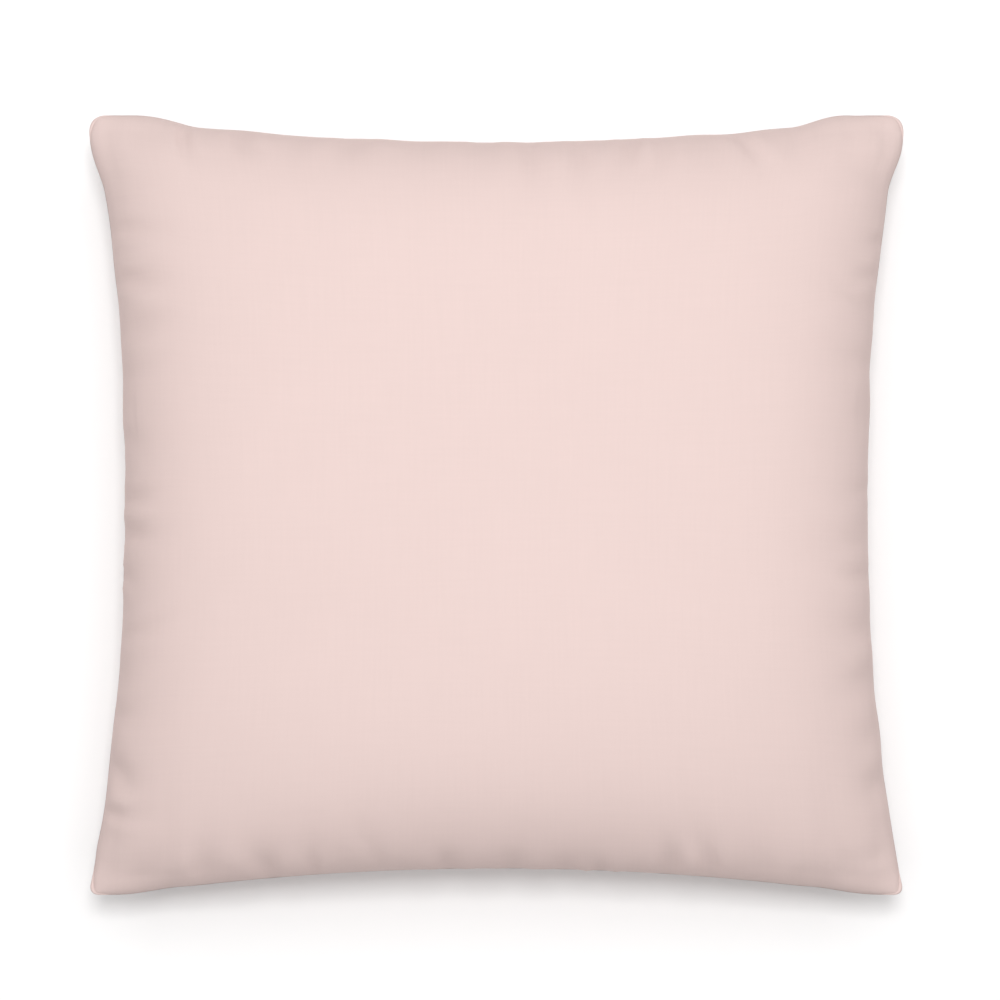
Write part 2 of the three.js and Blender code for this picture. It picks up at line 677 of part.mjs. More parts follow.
/** Insert seam stitching, split where the filling gap was sewn up last. */
function insertThreads() {
  const ring = rimOf(INSERT_STATIONS, INSERT_STATIONS).map(([i, j]) =>
    plan(INSERT_STATIONS[i], INSERT_STATIONS[j]),
  );
  const inset = INSERT_INSET - CASE_THREAD_CLEARANCE - THREAD_RADIUS;
  const bottom = ring.slice(0, CELLS_INSERT + 1);
  const at = (x) => {
    const k = bottom.findIndex((stop) => stop.x > x);
    const share = (x - bottom[k - 1].x) / (bottom[k].x - bottom[k - 1].x);
    return between(bottom[k - 1], bottom[k], share);
  };
  const inside = (half) => bottom.filter((stop) => Math.abs(stop.x) < half - 1);
  const closing = [at(-CLOSING_HALF_LENGTH), ...inside(CLOSING_HALF_LENGTH), at(CLOSING_HALF_LENGTH)];
  const clear = CLOSING_HALF_LENGTH + 2;
  const right = bottom.filter((stop) => stop.x > clear + 1);
  const left = bottom.filter((stop) => stop.x < -clear - 1);
  const rest = ring.slice(CELLS_INSERT + 1);
  const run = [at(clear), ...right, ...rest, ...left, at(-clear)];
  return {
    seam: seamThread(run, inset, THREAD_RADIUS),
    closing: seamThread(closing, inset, THREAD_RADIUS),
  };
}

const threads = insertThreads();
addPiece("insert_seam_thread", threads.seam, caseThread());
addPiece("insert_closing_stitch", threads.closing, caseThread());

// ---- Care label, blank, standing behind the zip tape ----

const label = new THREE.BoxGeometry(LABEL_WIDTH, LABEL_THICK, LABEL_HEIGHT);
const labelMesh = addPiece("care_label", label, labelSatin());
const labelInward = TAPE_FACE + TAPE + LABEL_CLEARANCE + LABEL_THICK / 2;
labelMesh.position.copy(onArc(LABEL_ALONG, labelInward, LABEL_LIFT + LABEL_HEIGHT / 2));
labelMesh.rotation.z = -LABEL_ALONG / ARC_RADIUS;

export default root;
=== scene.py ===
"""Looks of a ring bearer's cushion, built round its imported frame.

A removable cover of two cloth panels is seamed on three sides and zipped along the fourth. It holds an
insert in a case of its own. The cover's panel is cut flat and blown out to shape by a cloth simulation, and
then gathered along its seams. All sizes are in metres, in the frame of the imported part: +Z is up and the
cushion lies on its back panel.
"""

import json  # noqa: E402
import logging  # noqa: E402
import math  # noqa: E402
from dataclasses import dataclass  # noqa: E402
from enum import Enum  # noqa: E402
from typing import Any  # noqa: E402

import bpy  # noqa: E402
import numpy as np  # noqa: E402
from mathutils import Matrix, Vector  # noqa: E402

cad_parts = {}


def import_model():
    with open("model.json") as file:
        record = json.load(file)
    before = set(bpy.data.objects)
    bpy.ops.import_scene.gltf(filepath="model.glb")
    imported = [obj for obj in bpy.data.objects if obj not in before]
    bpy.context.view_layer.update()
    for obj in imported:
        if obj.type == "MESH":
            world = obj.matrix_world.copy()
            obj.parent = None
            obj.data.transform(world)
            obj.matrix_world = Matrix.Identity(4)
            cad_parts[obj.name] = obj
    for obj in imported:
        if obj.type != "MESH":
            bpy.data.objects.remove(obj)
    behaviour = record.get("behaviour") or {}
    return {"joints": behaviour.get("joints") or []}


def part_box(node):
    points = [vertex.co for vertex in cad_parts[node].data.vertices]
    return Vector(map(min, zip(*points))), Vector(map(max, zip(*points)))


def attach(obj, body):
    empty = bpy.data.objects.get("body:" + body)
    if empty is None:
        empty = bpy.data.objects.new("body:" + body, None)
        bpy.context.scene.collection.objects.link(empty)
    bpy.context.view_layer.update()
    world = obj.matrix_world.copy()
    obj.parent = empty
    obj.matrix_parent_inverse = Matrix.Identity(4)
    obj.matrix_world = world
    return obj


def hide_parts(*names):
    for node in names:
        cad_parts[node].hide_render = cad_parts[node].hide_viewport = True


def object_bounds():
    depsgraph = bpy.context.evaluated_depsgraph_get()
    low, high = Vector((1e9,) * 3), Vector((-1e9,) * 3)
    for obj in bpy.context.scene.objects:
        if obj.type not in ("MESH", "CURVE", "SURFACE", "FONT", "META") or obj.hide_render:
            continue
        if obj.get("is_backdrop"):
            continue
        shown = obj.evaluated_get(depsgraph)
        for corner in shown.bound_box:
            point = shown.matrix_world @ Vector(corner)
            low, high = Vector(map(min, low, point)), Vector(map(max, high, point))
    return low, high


LOG = logging.getLogger("cushion")
MM = 0.001
PATTERN_MAP = "cut"  # every piece's own flat coordinates, in metres

Colour = tuple[float, float, float]


class Side(Enum):
    """The cushion's two faces, and which way each one bulges from the seam plane."""

    FRONT = 1
    BACK = -1


class Edge(Enum):
    """The four sides of the seam line."""

    LEFT = "left"
    RIGHT = "right"
    TOP = "top"
    ZIP = "zip"


# ---- Shared curves and meshes ----


def smooth(t: np.ndarray) -> np.ndarray:
    """Ease from 0 to 1 as t goes from 0 to 1."""
    c = np.clip(t, 0.0, 1.0)
    return c * c * (3 - 2 * c)


def unit(vectors: np.ndarray) -> np.ndarray:
    """Vectors scaled to length 1."""
    return vectors / np.maximum(np.linalg.norm(vectors, axis=-1, keepdims=True), 1e-12)


def walked_along(path: np.ndarray) -> np.ndarray:
    """Distance walked from a path's first point to each of its points."""
    return np.concatenate([[0.0], np.cumsum(np.linalg.norm(np.diff(path, axis=0), axis=1))])


def closed_up(ring: np.ndarray) -> np.ndarray:
    """A ring with its first entry again at its end."""
    return np.concatenate([ring, ring[:1]])


def even_steps(path: np.ndarray, step: float) -> np.ndarray:
    """Walk a path in even steps.

    Args:
        path: Points along the path, shape (n, 3).
        step: Distance wanted between two points.

    Returns:
        Points about `step` apart, from the path's first point to its last.
    """
    walked = walked_along(path)
    count = max(2, int(round(walked[-1] / step)) + 1)
    wanted = np.linspace(0.0, walked[-1], count)
    return np.stack([np.interp(wanted, walked, path[:, k]) for k in range(path.shape[1])], axis=-1)


def halved(grid: np.ndarray) -> np.ndarray:
    """Put a smooth new row between every two rows of a grid.

    Args:
        grid: Points, shape (n, m, 3).

    Returns:
        Points, shape (2n - 1, m, 3).
    """
    made = np.empty((2 * len(grid) - 1, *grid.shape[1:]))
    made[::2] = grid
    middles = 0.5 * (grid[:-1] + grid[1:])
    middles[1:-1] = (9 * (grid[1:-2] + grid[2:-1]) - grid[:-3] - grid[3:]) / 16
    made[1::2] = middles
    return made


def rippled(along: np.ndarray, lengths: tuple[float, float], count: int, seed: int) -> np.ndarray:
    """A slow seeded ripple of height about 1.

    Args:
        along: Distances at which the ripple is wanted.
        lengths: Shortest and longest wave.
        count: How many waves are added up.
        seed: Seed of its random draws.

    Returns:
        Heights at those distances.
    """
    rng = np.random.default_rng(seed)
    total = np.zeros_like(along)
    for _ in range(count):
        total += np.sin(along * math.tau / rng.uniform(*lengths) + rng.uniform(0, math.tau))
    return total / math.sqrt(count)


class MeshDraft:
    """Points, faces and pattern coordinates of one mesh while it is put together."""

    def __init__(self) -> None:
        """Start with nothing."""
        self.points: list[np.ndarray] = []
        self.faces: list[list[int]] = []
        self.pattern: list[np.ndarray] = []
        self.count = 0

    def add_points(self, points: np.ndarray) -> np.ndarray:
        """Add points.

        Args:
            points: Any shape that ends in 3.

        Returns:
            Their indices, in the same shape without its last axis.
        """
        first = self.count
        flat = points.reshape(-1, 3)
        self.points.append(flat)
        self.count += len(flat)
        return first + np.arange(len(flat)).reshape(points.shape[:-1])

    def add_faces(self, index: np.ndarray, pattern: np.ndarray) -> None:
        """Join a grid of indices with four-sided faces.

        Args:
            index: Point indices, shape (n, m).
            pattern: Pattern coordinates of the same grid, shape (n, m, 2).
        """
        self.faces.extend(np.stack(self.face_corners(index), -1).reshape(-1, 4).tolist())
        self.pattern.append(np.stack(self.face_corners(pattern), -2).reshape(-1, 2))

    def face_corners(self, grid: np.ndarray) -> list[np.ndarray]:
        """The four corners of every cell of a grid, in order round the cell."""
        return [grid[:-1, :-1], grid[1:, :-1], grid[1:, 1:], grid[:-1, 1:]]

    def add_cap(self, ring: np.ndarray) -> None:
        """Close an end with one face over a ring of indices."""
        self.faces.append([int(k) for k in ring])
        self.pattern.append(np.zeros((len(ring), 2)))

    def add_tube(self, path: np.ndarray, radius: float, sides: int, beside: np.ndarray) -> None:
        """Skin a round thread or wire over a path.

        Args:
            path: Points along its middle, shape (n, 3).
            radius: Half its thickness.
            sides: Faces round it.
            beside: A direction never parallel to the path, shape (3,) or (n, 3).
        """
        ahead = np.roll(path, -1, axis=0) - np.roll(path, 1, axis=0)
        ahead[0], ahead[-1] = path[1] - path[0], path[-1] - path[-2]
        ahead = unit(ahead)
        first = unit(np.cross(np.broadcast_to(beside, path.shape), ahead))
        second = np.cross(ahead, first)
        turn = np.arange(sides) / sides * math.tau
        rings = (
            path[:, None]
            + radius * np.cos(turn)[None, :, None] * first[:, None]
            + radius * np.sin(turn)[None, :, None] * second[:, None]
        )
        index = self.add_points(rings)
        index = np.concatenate([index, index[:, :1]], axis=1)
        across = np.linspace(0.0, math.tau * radius, sides + 1)
        pattern = np.stack(np.broadcast_arrays(walked_along(path)[:, None], across[None, :]), -1)
        self.add_faces(index[:, ::-1], pattern[:, ::-1])
        self.add_cap(index[0, :-1])
        self.add_cap(index[-1, :-1][::-1])

    def to_object(self, name: str) -> bpy.types.Object:
        """Make the Blender object.

        Args:
            name: Piece name.

        Returns:
            The new object, shaded smooth, with its pattern coordinates.
        """
        mesh = bpy.data.meshes.new(name)
        mesh.from_pydata(np.concatenate(self.points).tolist(), [], self.faces)
        layer = mesh.uv_layers.new(name=PATTERN_MAP)
        layer.data.foreach_set("uv", np.concatenate(self.pattern).astype(np.float32).ravel())
        mesh.shade_smooth()
        piece = bpy.data.objects.new(name, mesh)
        bpy.context.scene.collection.objects.link(piece)
        return piece


def hem_thickness(piece: bpy.types.Object, thick: float) -> None:
    """Give a single layer of cloth its thickness, on the side away from its normals.

    Args:
        piece: A piece of one layer.
        thick: The cloth's thickness.
    """
    layer = piece.modifiers.new("thickness", "SOLIDIFY")
    layer.thickness = thick
    layer.offset = -1.0
    layer.use_even_offset = False


def seat(
    piece: bpy.types.Object, body: str, slot: str, material: bpy.types.Material, *stands_for: str
) -> None:
    """Dress a piece, tie it to its body, and hide the nodes that it stands for.

    Args:
        piece: The finished piece, in place.
        body: Body of the frame that it rides on.
        slot: Material slot of the record; not used.
        material: Its finish.
        stands_for: Frame nodes that it replaces.
    """
    piece.data.materials.clear()
    piece.data.materials.append(material)
    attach(piece, body)
    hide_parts(*stands_for)
    LOG.info("%s: %d faces, rides on %s", piece.name, len(piece.data.polygons), body)


# ---- Finishes ----


class Recipe:
    """The node tree of one finish, with short ways to add nodes and join them."""

    def __init__(self, name: str, roughness: float) -> None:
        """Start a material with its shader.

        Args:
            name: Material name.
            roughness: Roughness set on the shader.
        """
        self.material = bpy.data.materials.new(name)
        self.material.use_nodes = True
        self.tree = self.material.node_tree
        self.shader = self.tree.nodes["Principled BSDF"]
        self.set("Roughness", roughness)

    def set(self, socket: str, value: Any) -> None:
        """Set one of the shader's own sockets."""
        self.shader.inputs[socket].default_value = value

    def node(self, kind: str, **facts: Any) -> bpy.types.Node:
        """Add a node.

        Args:
            kind: Its type, without the leading ShaderNode.
            facts: Attributes to set on it.

        Returns:
            The node.
        """
        made = self.tree.nodes.new("ShaderNode" + kind)
        for key, value in facts.items():
            setattr(made, key, value)
        return made

    def join(self, source: bpy.types.NodeSocket, target: bpy.types.NodeSocket) -> None:
        """Link one socket to another."""
        self.tree.links.new(source, target)

    def math(self, operation: str, *terms: Any) -> bpy.types.NodeSocket:
        """Work out a value.

        Args:
            operation: Name of the sum.
            terms: Sockets or numbers.

        Returns:
            The result's socket.
        """
        made = self.node("Math", operation=operation)
        for k, term in enumerate(terms):
            if isinstance(term, (int, float)):
                made.inputs[k].default_value = term
            else:
                self.join(term, made.inputs[k])
        return made.outputs[0]

    def pattern(self) -> bpy.types.NodeSocket:
        """The piece's own flat coordinates."""
        return self.node("UVMap", uv_map=PATTERN_MAP).outputs["UV"]

    def solid(self) -> bpy.types.NodeSocket:
        """Coordinates through the solid piece."""
        return self.node("TexCoord").outputs["Object"]

    def noise(self, where: bpy.types.NodeSocket, scale: float, detail: float = 2.0) -> bpy.types.NodeSocket:
        """Soft noise.

        Args:
            where: Coordinates.
            scale: Patches per metre.
            detail: Octaves.

        Returns:
            Its height, from 0 to 1.
        """
        made = self.node("TexNoise")
        made.inputs["Scale"].default_value = scale
        made.inputs["Detail"].default_value = detail
        self.join(where, made.inputs["Vector"])
        return made.outputs["Fac"]

    def drawn_noise(
        self, where: bpy.types.NodeSocket, scale: tuple[float, float], detail: float = 2.0
    ) -> bpy.types.NodeSocket:
        """Noise drawn out one way, as yarns and fibres are.

        Args:
            where: Pattern coordinates.
            scale: Streaks per metre along each of the two coordinates.
            detail: Octaves.

        Returns:
            Its height, from 0 to 1.
        """
        drawn = self.node("Mapping")
        drawn.inputs["Scale"].default_value = (*scale, 1.0)
        self.join(where, drawn.inputs["Vector"])
        return self.noise(drawn.outputs["Vector"], 1.0, detail)

    def waves(self, value: bpy.types.NodeSocket, pitch: float) -> bpy.types.NodeSocket:
        """Sine of a distance, once every `pitch`."""
        return self.math("SINE", self.math("MULTIPLY", value, math.tau / pitch))

    def axes(self, where: bpy.types.NodeSocket) -> tuple[bpy.types.NodeSocket, bpy.types.NodeSocket]:
        """Take the first two coordinates apart.

        Args:
            where: Coordinates.

        Returns:
            Sockets of the first and the second coordinate.
        """
        apart = self.node("SeparateXYZ")
        self.join(where, apart.inputs[0])
        return apart.outputs["X"], apart.outputs["Y"]

    def tint(self, share: bpy.types.NodeSocket, low: Colour, high: Colour) -> None:
        """Colour the shader between two shades.

        Args:
            share: 0 for the first shade, 1 for the second.
            low: First shade.
            high: Second shade.
        """
        mix = self.node("Mix", data_type="RGBA")
        mix.inputs["A"].default_value = (*low, 1.0)
        mix.inputs["B"].default_value = (*high, 1.0)
        mix.clamp_factor = True
        self.join(share, mix.inputs["Factor"])
        self.join(mix.outputs["Result"], self.shader.inputs["Base Color"])

    def dull(self, share: bpy.types.NodeSocket, low: float, high: float) -> None:
        """Vary the roughness between two values.

        Args:
            share: Where between the two values, from 0 to 1.
            low: Roughness at 0.
            high: Roughness at 1.
        """
        span = self.node("MapRange")
        span.inputs["To Min"].default_value = low
        span.inputs["To Max"].default_value = high
        self.join(share, span.inputs["Value"])
        self.join(span.outputs["Result"], self.shader.inputs["Roughness"])

    def relief(self, height: bpy.types.NodeSocket, depth: float, strength: float = 1.0) -> None:
        """Raise the surface with a bump.

        Args:
            height: The height's socket.
            depth: How far a height of 1 stands up.
            strength: How much of it shows.
        """
        bump = self.node("Bump")
        bump.inputs["Distance"].default_value = depth
        bump.inputs["Strength"].default_value = strength
        self.join(height, bump.inputs["Height"])
        self.join(bump.outputs["Normal"], self.shader.inputs["Normal"])


def shaded(colour: Colour, share: float) -> Colour:
    """A colour made lighter or darker by a share."""
    return tuple(min(1.0, c * (1 + share)) for c in colour)


@dataclass(frozen=True)
class WovenCloth:
    """A plain weave with a soft face: warp over weft, uneven yarns and a light fuzz."""

    name: str
    colour: Colour
    pitch: float = 0.42 * MM
    depth: float = 0.035 * MM
    slub_scale: tuple[float, float] = (2400.0, 160.0)
    warp_scale: tuple[float, float] = (620.0, 22.0)
    fuzz_scale: float = 3200.0
    patch_scale: float = 26.0
    unevenness: float = 0.012
    sheen: float = 0.18
    roughness: float = 0.86
    dullness: tuple[float, float] = (0.80, 0.93)

    def mix(self) -> bpy.types.Material:
        """Make the material.

        Returns:
            The material.
        """
        made = Recipe(self.name, self.roughness)
        where = made.pattern()
        x, y = made.axes(where)
        weave = made.math("MULTIPLY", made.waves(x, self.pitch), made.waves(y, self.pitch))
        slub = made.drawn_noise(where, self.slub_scale, 1.0)
        fuzz = made.noise(where, self.fuzz_scale)
        patches = made.noise(where, self.patch_scale, 3.0)
        warp = made.drawn_noise(where, self.warp_scale)
        weft = made.drawn_noise(where, self.warp_scale[::-1])
        height = made.math("ADD", weave, made.math("ADD", slub, fuzz))
        made.relief(height, self.depth, 0.5)
        yarn_share = made.math("MULTIPLY_ADD", made.math("ADD", warp, weft), 1.1, -0.95)
        patch_share = made.math("MULTIPLY_ADD", patches, 0.7, yarn_share)
        # Yarn streaks and patches give random tone; the weave term adds a little painted shade where the
        # weave's bump dips.
        share = made.math("MULTIPLY_ADD", weave, 0.12, patch_share)
        made.tint(share, shaded(self.colour, -self.unevenness), shaded(self.colour, self.unevenness))
        made.dull(made.math("MULTIPLY_ADD", fuzz, 0.6, made.math("MULTIPLY", patches, 0.4)), *self.dullness)
        made.set("Sheen Weight", self.sheen)
        made.set("Sheen Roughness", 0.45)
        made.set("Sheen Tint", (*shaded(self.colour, 0.2), 1.0))
        made.set("Specular IOR Level", 0.22)
        return made.material


@dataclass(frozen=True)
class SpunThread:
    """Sewing thread: plies twisted round each other along its length."""

    name: str
    colour: Colour
    twist: float = 0.55 * MM
    depth: float = 0.04 * MM

    def mix(self) -> bpy.types.Material:
        """Make the material.

        Returns:
            The material.
        """
        made = Recipe(self.name, 0.62)
        where = made.pattern()
        along, around = made.axes(where)
        plies = made.waves(made.math("MULTIPLY_ADD", around, 0.8, along), self.twist)
        fibres = made.noise(where, 5200.0, 2.0)
        made.relief(made.math("ADD", plies, fibres), self.depth, 0.7)
        # Colour follows the twist: the grooves between the plies are painted darker and the crests lighter,
        # painted shade in the twist.
        share = made.math("MULTIPLY_ADD", plies, 0.35, 0.5)
        made.tint(share, shaded(self.colour, -0.14), shaded(self.colour, 0.05))
        made.dull(fibres, 0.52, 0.72)
        made.set("Sheen Weight", 0.12)
        made.set("Sheen Roughness", 0.4)
        return made.material


@dataclass(frozen=True)
class TwillTape:
    """Narrow woven zip tape, with slanting twill ribs."""

    name: str
    colour: Colour
    pitch: float = 0.7 * MM

    def mix(self) -> bpy.types.Material:
        """Make the material.

        Returns:
            The material.
        """
        made = Recipe(self.name, 0.75)
        where = made.pattern()
        x, y = made.axes(where)
        zigzag = made.math("PINGPONG", y, 2.4 * MM)
        ribs = made.waves(made.math("ADD", x, zigzag), self.pitch)
        yarns = made.waves(y, 0.32 * MM)
        made.relief(made.math("MULTIPLY_ADD", yarns, 0.4, ribs), 0.05 * MM, 0.6)
        lint = made.noise(where, 900.0, 3.0)
        # Colour follows the ribs: the rib valleys are painted darker, painted shade along the twill, and the
        # lint noise adds random tone.
        share = made.math("MULTIPLY_ADD", ribs, 0.25, lint)
        made.tint(share, shaded(self.colour, -0.1), shaded(self.colour, 0.04))
        made.dull(lint, 0.66, 0.84)
        made.set("Sheen Weight", 0.15)
        return made.material


@dataclass(frozen=True)
class MouldedNylon:
    """Nylon wire of the zip's coils: smooth, a little see-through, faintly drawn along its length."""

    name: str
    colour: Colour

    def mix(self) -> bpy.types.Material:
        """Make the material.

        Returns:
            The material.
        """
        made = Recipe(self.name, 0.36)
        lines = made.drawn_noise(made.pattern(), (300.0, 6000.0))
        made.relief(lines, 0.015 * MM, 0.4)
        made.tint(lines, shaded(self.colour, -0.06), shaded(self.colour, 0.03))
        made.dull(lines, 0.28, 0.44)
        made.set("Subsurface Weight", 0.15)
        made.set("Subsurface Scale", 0.4 * MM)
        made.set("Coat Weight", 0.15)
        made.set("Coat Roughness", 0.2)
        return made.material


@dataclass(frozen=True)
class SatinNickel:
    """Cast and tumbled zip metal with a satin plating."""

    name: str
    colour: Colour

    def mix(self) -> bpy.types.Material:
        """Make the material.

        Returns:
            The material.
        """
        made = Recipe(self.name, 0.3)
        where = made.solid()
        tumble = made.noise(where, 1800.0, 3.0)
        scuffs = made.noise(where, 320.0, 4.0)
        made.relief(made.math("MULTIPLY_ADD", scuffs, 1.5, tumble), 0.02 * MM, 0.35)
        made.tint(scuffs, shaded(self.colour, -0.14), shaded(self.colour, 0.08))
        made.dull(made.math("MULTIPLY_ADD", tumble, 0.4, made.math("MULTIPLY", scuffs, 0.6)), 0.2, 0.42)
        made.set("Metallic", 1.0)
        return made.material


@dataclass(frozen=True)
class BondedCloth:
    """Non-woven case cloth: pressed fibres with rows of little bond points."""

    name: str
    colour: Colour
    pitch: float = 1.6 * MM

    def mix(self) -> bpy.types.Material:
        """Make the material.

        Returns:
            The material.
        """
        made = Recipe(self.name, 0.9)
        where = made.pattern()
        x, y = made.axes(where)
        dots = made.math("MULTIPLY", made.waves(x, self.pitch), made.waves(y, self.pitch))
        bonds = made.math("GREATER_THAN", dots, 0.45)
        fibres = made.noise(where, 1500.0, 5.0)
        made.relief(made.math("SUBTRACT", fibres, made.math("MULTIPLY", bonds, 0.8)), 0.08 * MM, 0.6)
        made.tint(made.math("SUBTRACT", fibres, bonds), shaded(self.colour, -0.08), self.colour)
        made.dull(fibres, 0.82, 0.96)
        made.set("Sheen Weight", 0.1)
        return made.material


@dataclass(frozen=True)
class Wadding:
    """Polyester filling: matt crimped fibres in soft clumps."""

    name: str
    colour: Colour

    def mix(self) -> bpy.types.Material:
        """Make the material.

        Returns:
            The material.
        """
        made = Recipe(self.name, 0.95)
        where = made.solid()
        clumps = made.noise(where, 60.0, 4.0)
        fibres = made.noise(where, 1400.0, 6.0)
        made.relief(made.math("MULTIPLY_ADD", fibres, 0.3, clumps), 1.2 * MM, 0.5)
        made.tint(clumps, shaded(self.colour, -0.06), self.colour)
        made.dull(fibres, 0.88, 1.0)
        made.set("Sheen Weight", 0.3)
        made.set("Subsurface Weight", 0.1)
        made.set("Subsurface Scale", 4 * MM)
        return made.material


@dataclass(frozen=True)
class SatinRibbon:
    """Woven label satin: long floats one way, with a soft shine."""

    name: str
    colour: Colour

    def mix(self) -> bpy.types.Material:
        """Make the material.

        Returns:
            The material.
        """
        made = Recipe(self.name, 0.4)
        where = made.pattern()
        x, y = made.axes(where)
        floats = made.waves(x, 0.22 * MM)
        picks = made.waves(y, 0.5 * MM)
        made.relief(made.math("MULTIPLY_ADD", picks, 0.3, floats), 0.02 * MM, 0.5)
        sheen = made.noise(where, 400.0, 2.0)
        made.tint(sheen, shaded(self.colour, -0.05), self.colour)
        made.dull(sheen, 0.32, 0.5)
        made.set("Anisotropic", 0.4)
        made.set("Sheen Weight", 0.2)
        return made.material


@dataclass
class Wardrobe:
    """Every finish of the cushion, mixed once."""

    blush: Colour = (0.695, 0.550, 0.521)
    thread_blush: Colour = (0.62, 0.49, 0.46)
    white: Colour = (0.86, 0.855, 0.84)

    def __post_init__(self) -> None:
        """Mix the finishes."""
        self.cover = WovenCloth("blush_cloth", self.blush).mix()
        self.thread = SpunThread("blush_thread", self.thread_blush).mix()
        self.tape = TwillTape("blush_tape", shaded(self.blush, -0.1)).mix()
        self.coil = MouldedNylon("blush_nylon", shaded(self.blush, -0.12)).mix()
        self.metal = SatinNickel("satin_nickel", (0.62, 0.605, 0.59)).mix()
        self.case = BondedCloth("white_case_cloth", self.white).mix()
        self.wadding = Wadding("white_wadding", self.white).mix()
        self.case_thread = SpunThread("white_thread", shaded(self.white, -0.05)).mix()
        self.ribbon = SatinRibbon("white_satin", self.white).mix()


# ---- The seam line, in plan ----


@dataclass(frozen=True)
class Sweep:
    """How one side of the seam line draws in between its corners, which stand out as soft ears.

    The first of two powers, and the low ear, are towards the side's left or lower end.
    """

    draw: float
    powers: tuple[float, float]
    ear_low: tuple[float, float]
    ear_high: tuple[float, float]

    def inset(self, t: np.ndarray) -> np.ndarray:
        """Find how far the side draws in.

        Args:
            t: Places along the side, from -1 to 1.

        Returns:
            How far the side draws in there.
        """
        power = self.powers[0] + (self.powers[1] - self.powers[0]) * smooth((t + 1) / 2)
        away = np.abs(t)
        start = np.where(t < 0, self.ear_low[0], self.ear_high[0])
        end = np.where(t < 0, self.ear_low[1], self.ear_high[1])
        ear = smooth((away - start) / (end - start))
        return self.draw * (1 - away**power) * (1 - ear)


@dataclass
class SeamPlan:
    """The seam line from above: four drawn-in sides and rounded corners, with the zip along a true arc."""

    half_x: float
    half_y: float
    arc_centre_y: float
    arc_radius: float
    level: float
    left: Sweep = Sweep(19.5 * MM, (2.0, 2.6), (0.97, 1.0), (0.80, 0.97))
    right: Sweep = Sweep(19.5 * MM, (2.1, 2.5), (0.97, 1.0), (0.80, 0.96))
    top: Sweep = Sweep(14.8 * MM, (1.9, 1.9), (0.73, 0.88), (0.72, 0.88))
    zip_zone: float = 178 * MM
    zip_ear: float = 224 * MM
    round_top: float = 10.0 * MM
    round_zip: float = 5.5 * MM
    waver: float = 0.32 * MM
    waver_lengths: tuple[float, float] = (0.03, 0.11)
    waver_count: int = 6
    waver_end: tuple[float, float] = (0.86, 0.06)

    def on_arc(self, along: np.ndarray, inward: np.ndarray, level: np.ndarray) -> np.ndarray:
        """A point by its place on the zip.

        Args:
            along: Distance along the zip side's arc from its middle.
            inward: Distance in from the seam line.
            level: Height over the seam plane.

        Returns:
            Points, in the frame.
        """
        along, inward, level = np.broadcast_arrays(along, inward, level)
        turn = along / self.arc_radius
        radius = self.arc_radius + inward
        return np.stack(
            [radius * np.sin(turn), self.arc_centre_y + radius * np.cos(turn), self.level + level], axis=-1
        )

    def unrounded(self, edge: Edge, t: np.ndarray) -> np.ndarray:
        """Points of one side with sharp corners.

        Args:
            edge: Which side.
            t: Places along it, from -1 to 1, shape (n,).

        Returns:
            Plan points, shape (n, 2).
        """
        calm, over = self.waver_end
        inner = 1 - smooth((np.abs(t) - calm) / over)
        if edge is Edge.ZIP:
            x = t * self.half_x
            arc = self.half_y + self.arc_centre_y + np.sqrt(self.arc_radius**2 - x * x)
            ear = smooth((np.abs(x) - self.zip_zone) / (self.zip_ear - self.zip_zone))
            return np.stack([x, -self.half_y + arc * (1 - ear)], axis=-1)
        if edge is Edge.TOP:
            stray = self.waver * inner * rippled(t * self.half_x, self.waver_lengths, self.waver_count, 11)
            return np.stack([t * self.half_x, self.half_y - self.top.inset(t) + stray], axis=-1)
        sweep, way, seed = (self.left, -1, 23) if edge is Edge.LEFT else (self.right, 1, 37)
        stray = self.waver * inner * rippled(t * self.half_y, self.waver_lengths, self.waver_count, seed)
        return np.stack([way * (self.half_x - sweep.inset(t) + stray), t * self.half_y], axis=-1)

    def line(self, edge: Edge, t: np.ndarray) -> np.ndarray:
        """Points of one side with its corners rounded off.

        Args:
            edge: Which side.
            t: Places along it, from -1 to 1, shape (n,).

        Returns:
            Plan points, shape (n, 2).
        """
        made = self.unrounded(edge, t)
        flat = edge in (Edge.TOP, Edge.ZIP)
        own = 1 if edge in (Edge.TOP, Edge.RIGHT) else -1
        half, other_half = (self.half_x, self.half_y) if flat else (self.half_y, self.half_x)
        for end, other in zip((-1, 1), (Edge.LEFT, Edge.RIGHT) if flat else (Edge.ZIP, Edge.TOP)):
            reach = self.round_top if Edge.TOP in (edge, other) else self.round_zip
            here = self.unrounded(edge, np.array([end * (1 - reach / half)]))
            there = self.unrounded(other, np.array([own * (1 - reach / other_half)]))
            corner = np.array([end, own] if flat else [own, end]) * (self.half_x, self.half_y)
            s = (np.clip(1 - (1 - end * t) * half / reach, 0.0, 1.0) / 2)[:, None]
            bend = (1 - s) ** 2 * here + 2 * s * (1 - s) * corner + s**2 * there
            made = np.where(s > 0, bend, made)
        return made

    def spread(self, u: np.ndarray, v: np.ndarray) -> np.ndarray:
        """Spread a grid evenly over the whole plan.

        Args:
            u: Stations across, from -1 to 1, shape (n,).
            v: Stations up, from -1 to 1, shape (m,).

        Returns:
            Plan points, shape (n, m, 2).
        """
        low, high = self.line(Edge.ZIP, u)[:, None], self.line(Edge.TOP, u)[:, None]
        left, right = self.line(Edge.LEFT, v)[None], self.line(Edge.RIGHT, v)[None]
        s, t = ((u + 1) / 2)[:, None, None], ((v + 1) / 2)[None, :, None]
        bottom, top = (1 - s) * low[0] + s * low[-1], (1 - s) * high[0] + s * high[-1]
        return (1 - t) * low + t * high + (1 - s) * left + s * right - (1 - t) * bottom - t * top

    def drawn_in(self, points: np.ndarray, inset: np.ndarray | float) -> np.ndarray:
        """Plan points brought in towards the middle by about `inset`."""
        inset = np.asarray(inset)[..., None]
        return points * (1 - inset / np.array([self.half_x, self.half_y]))

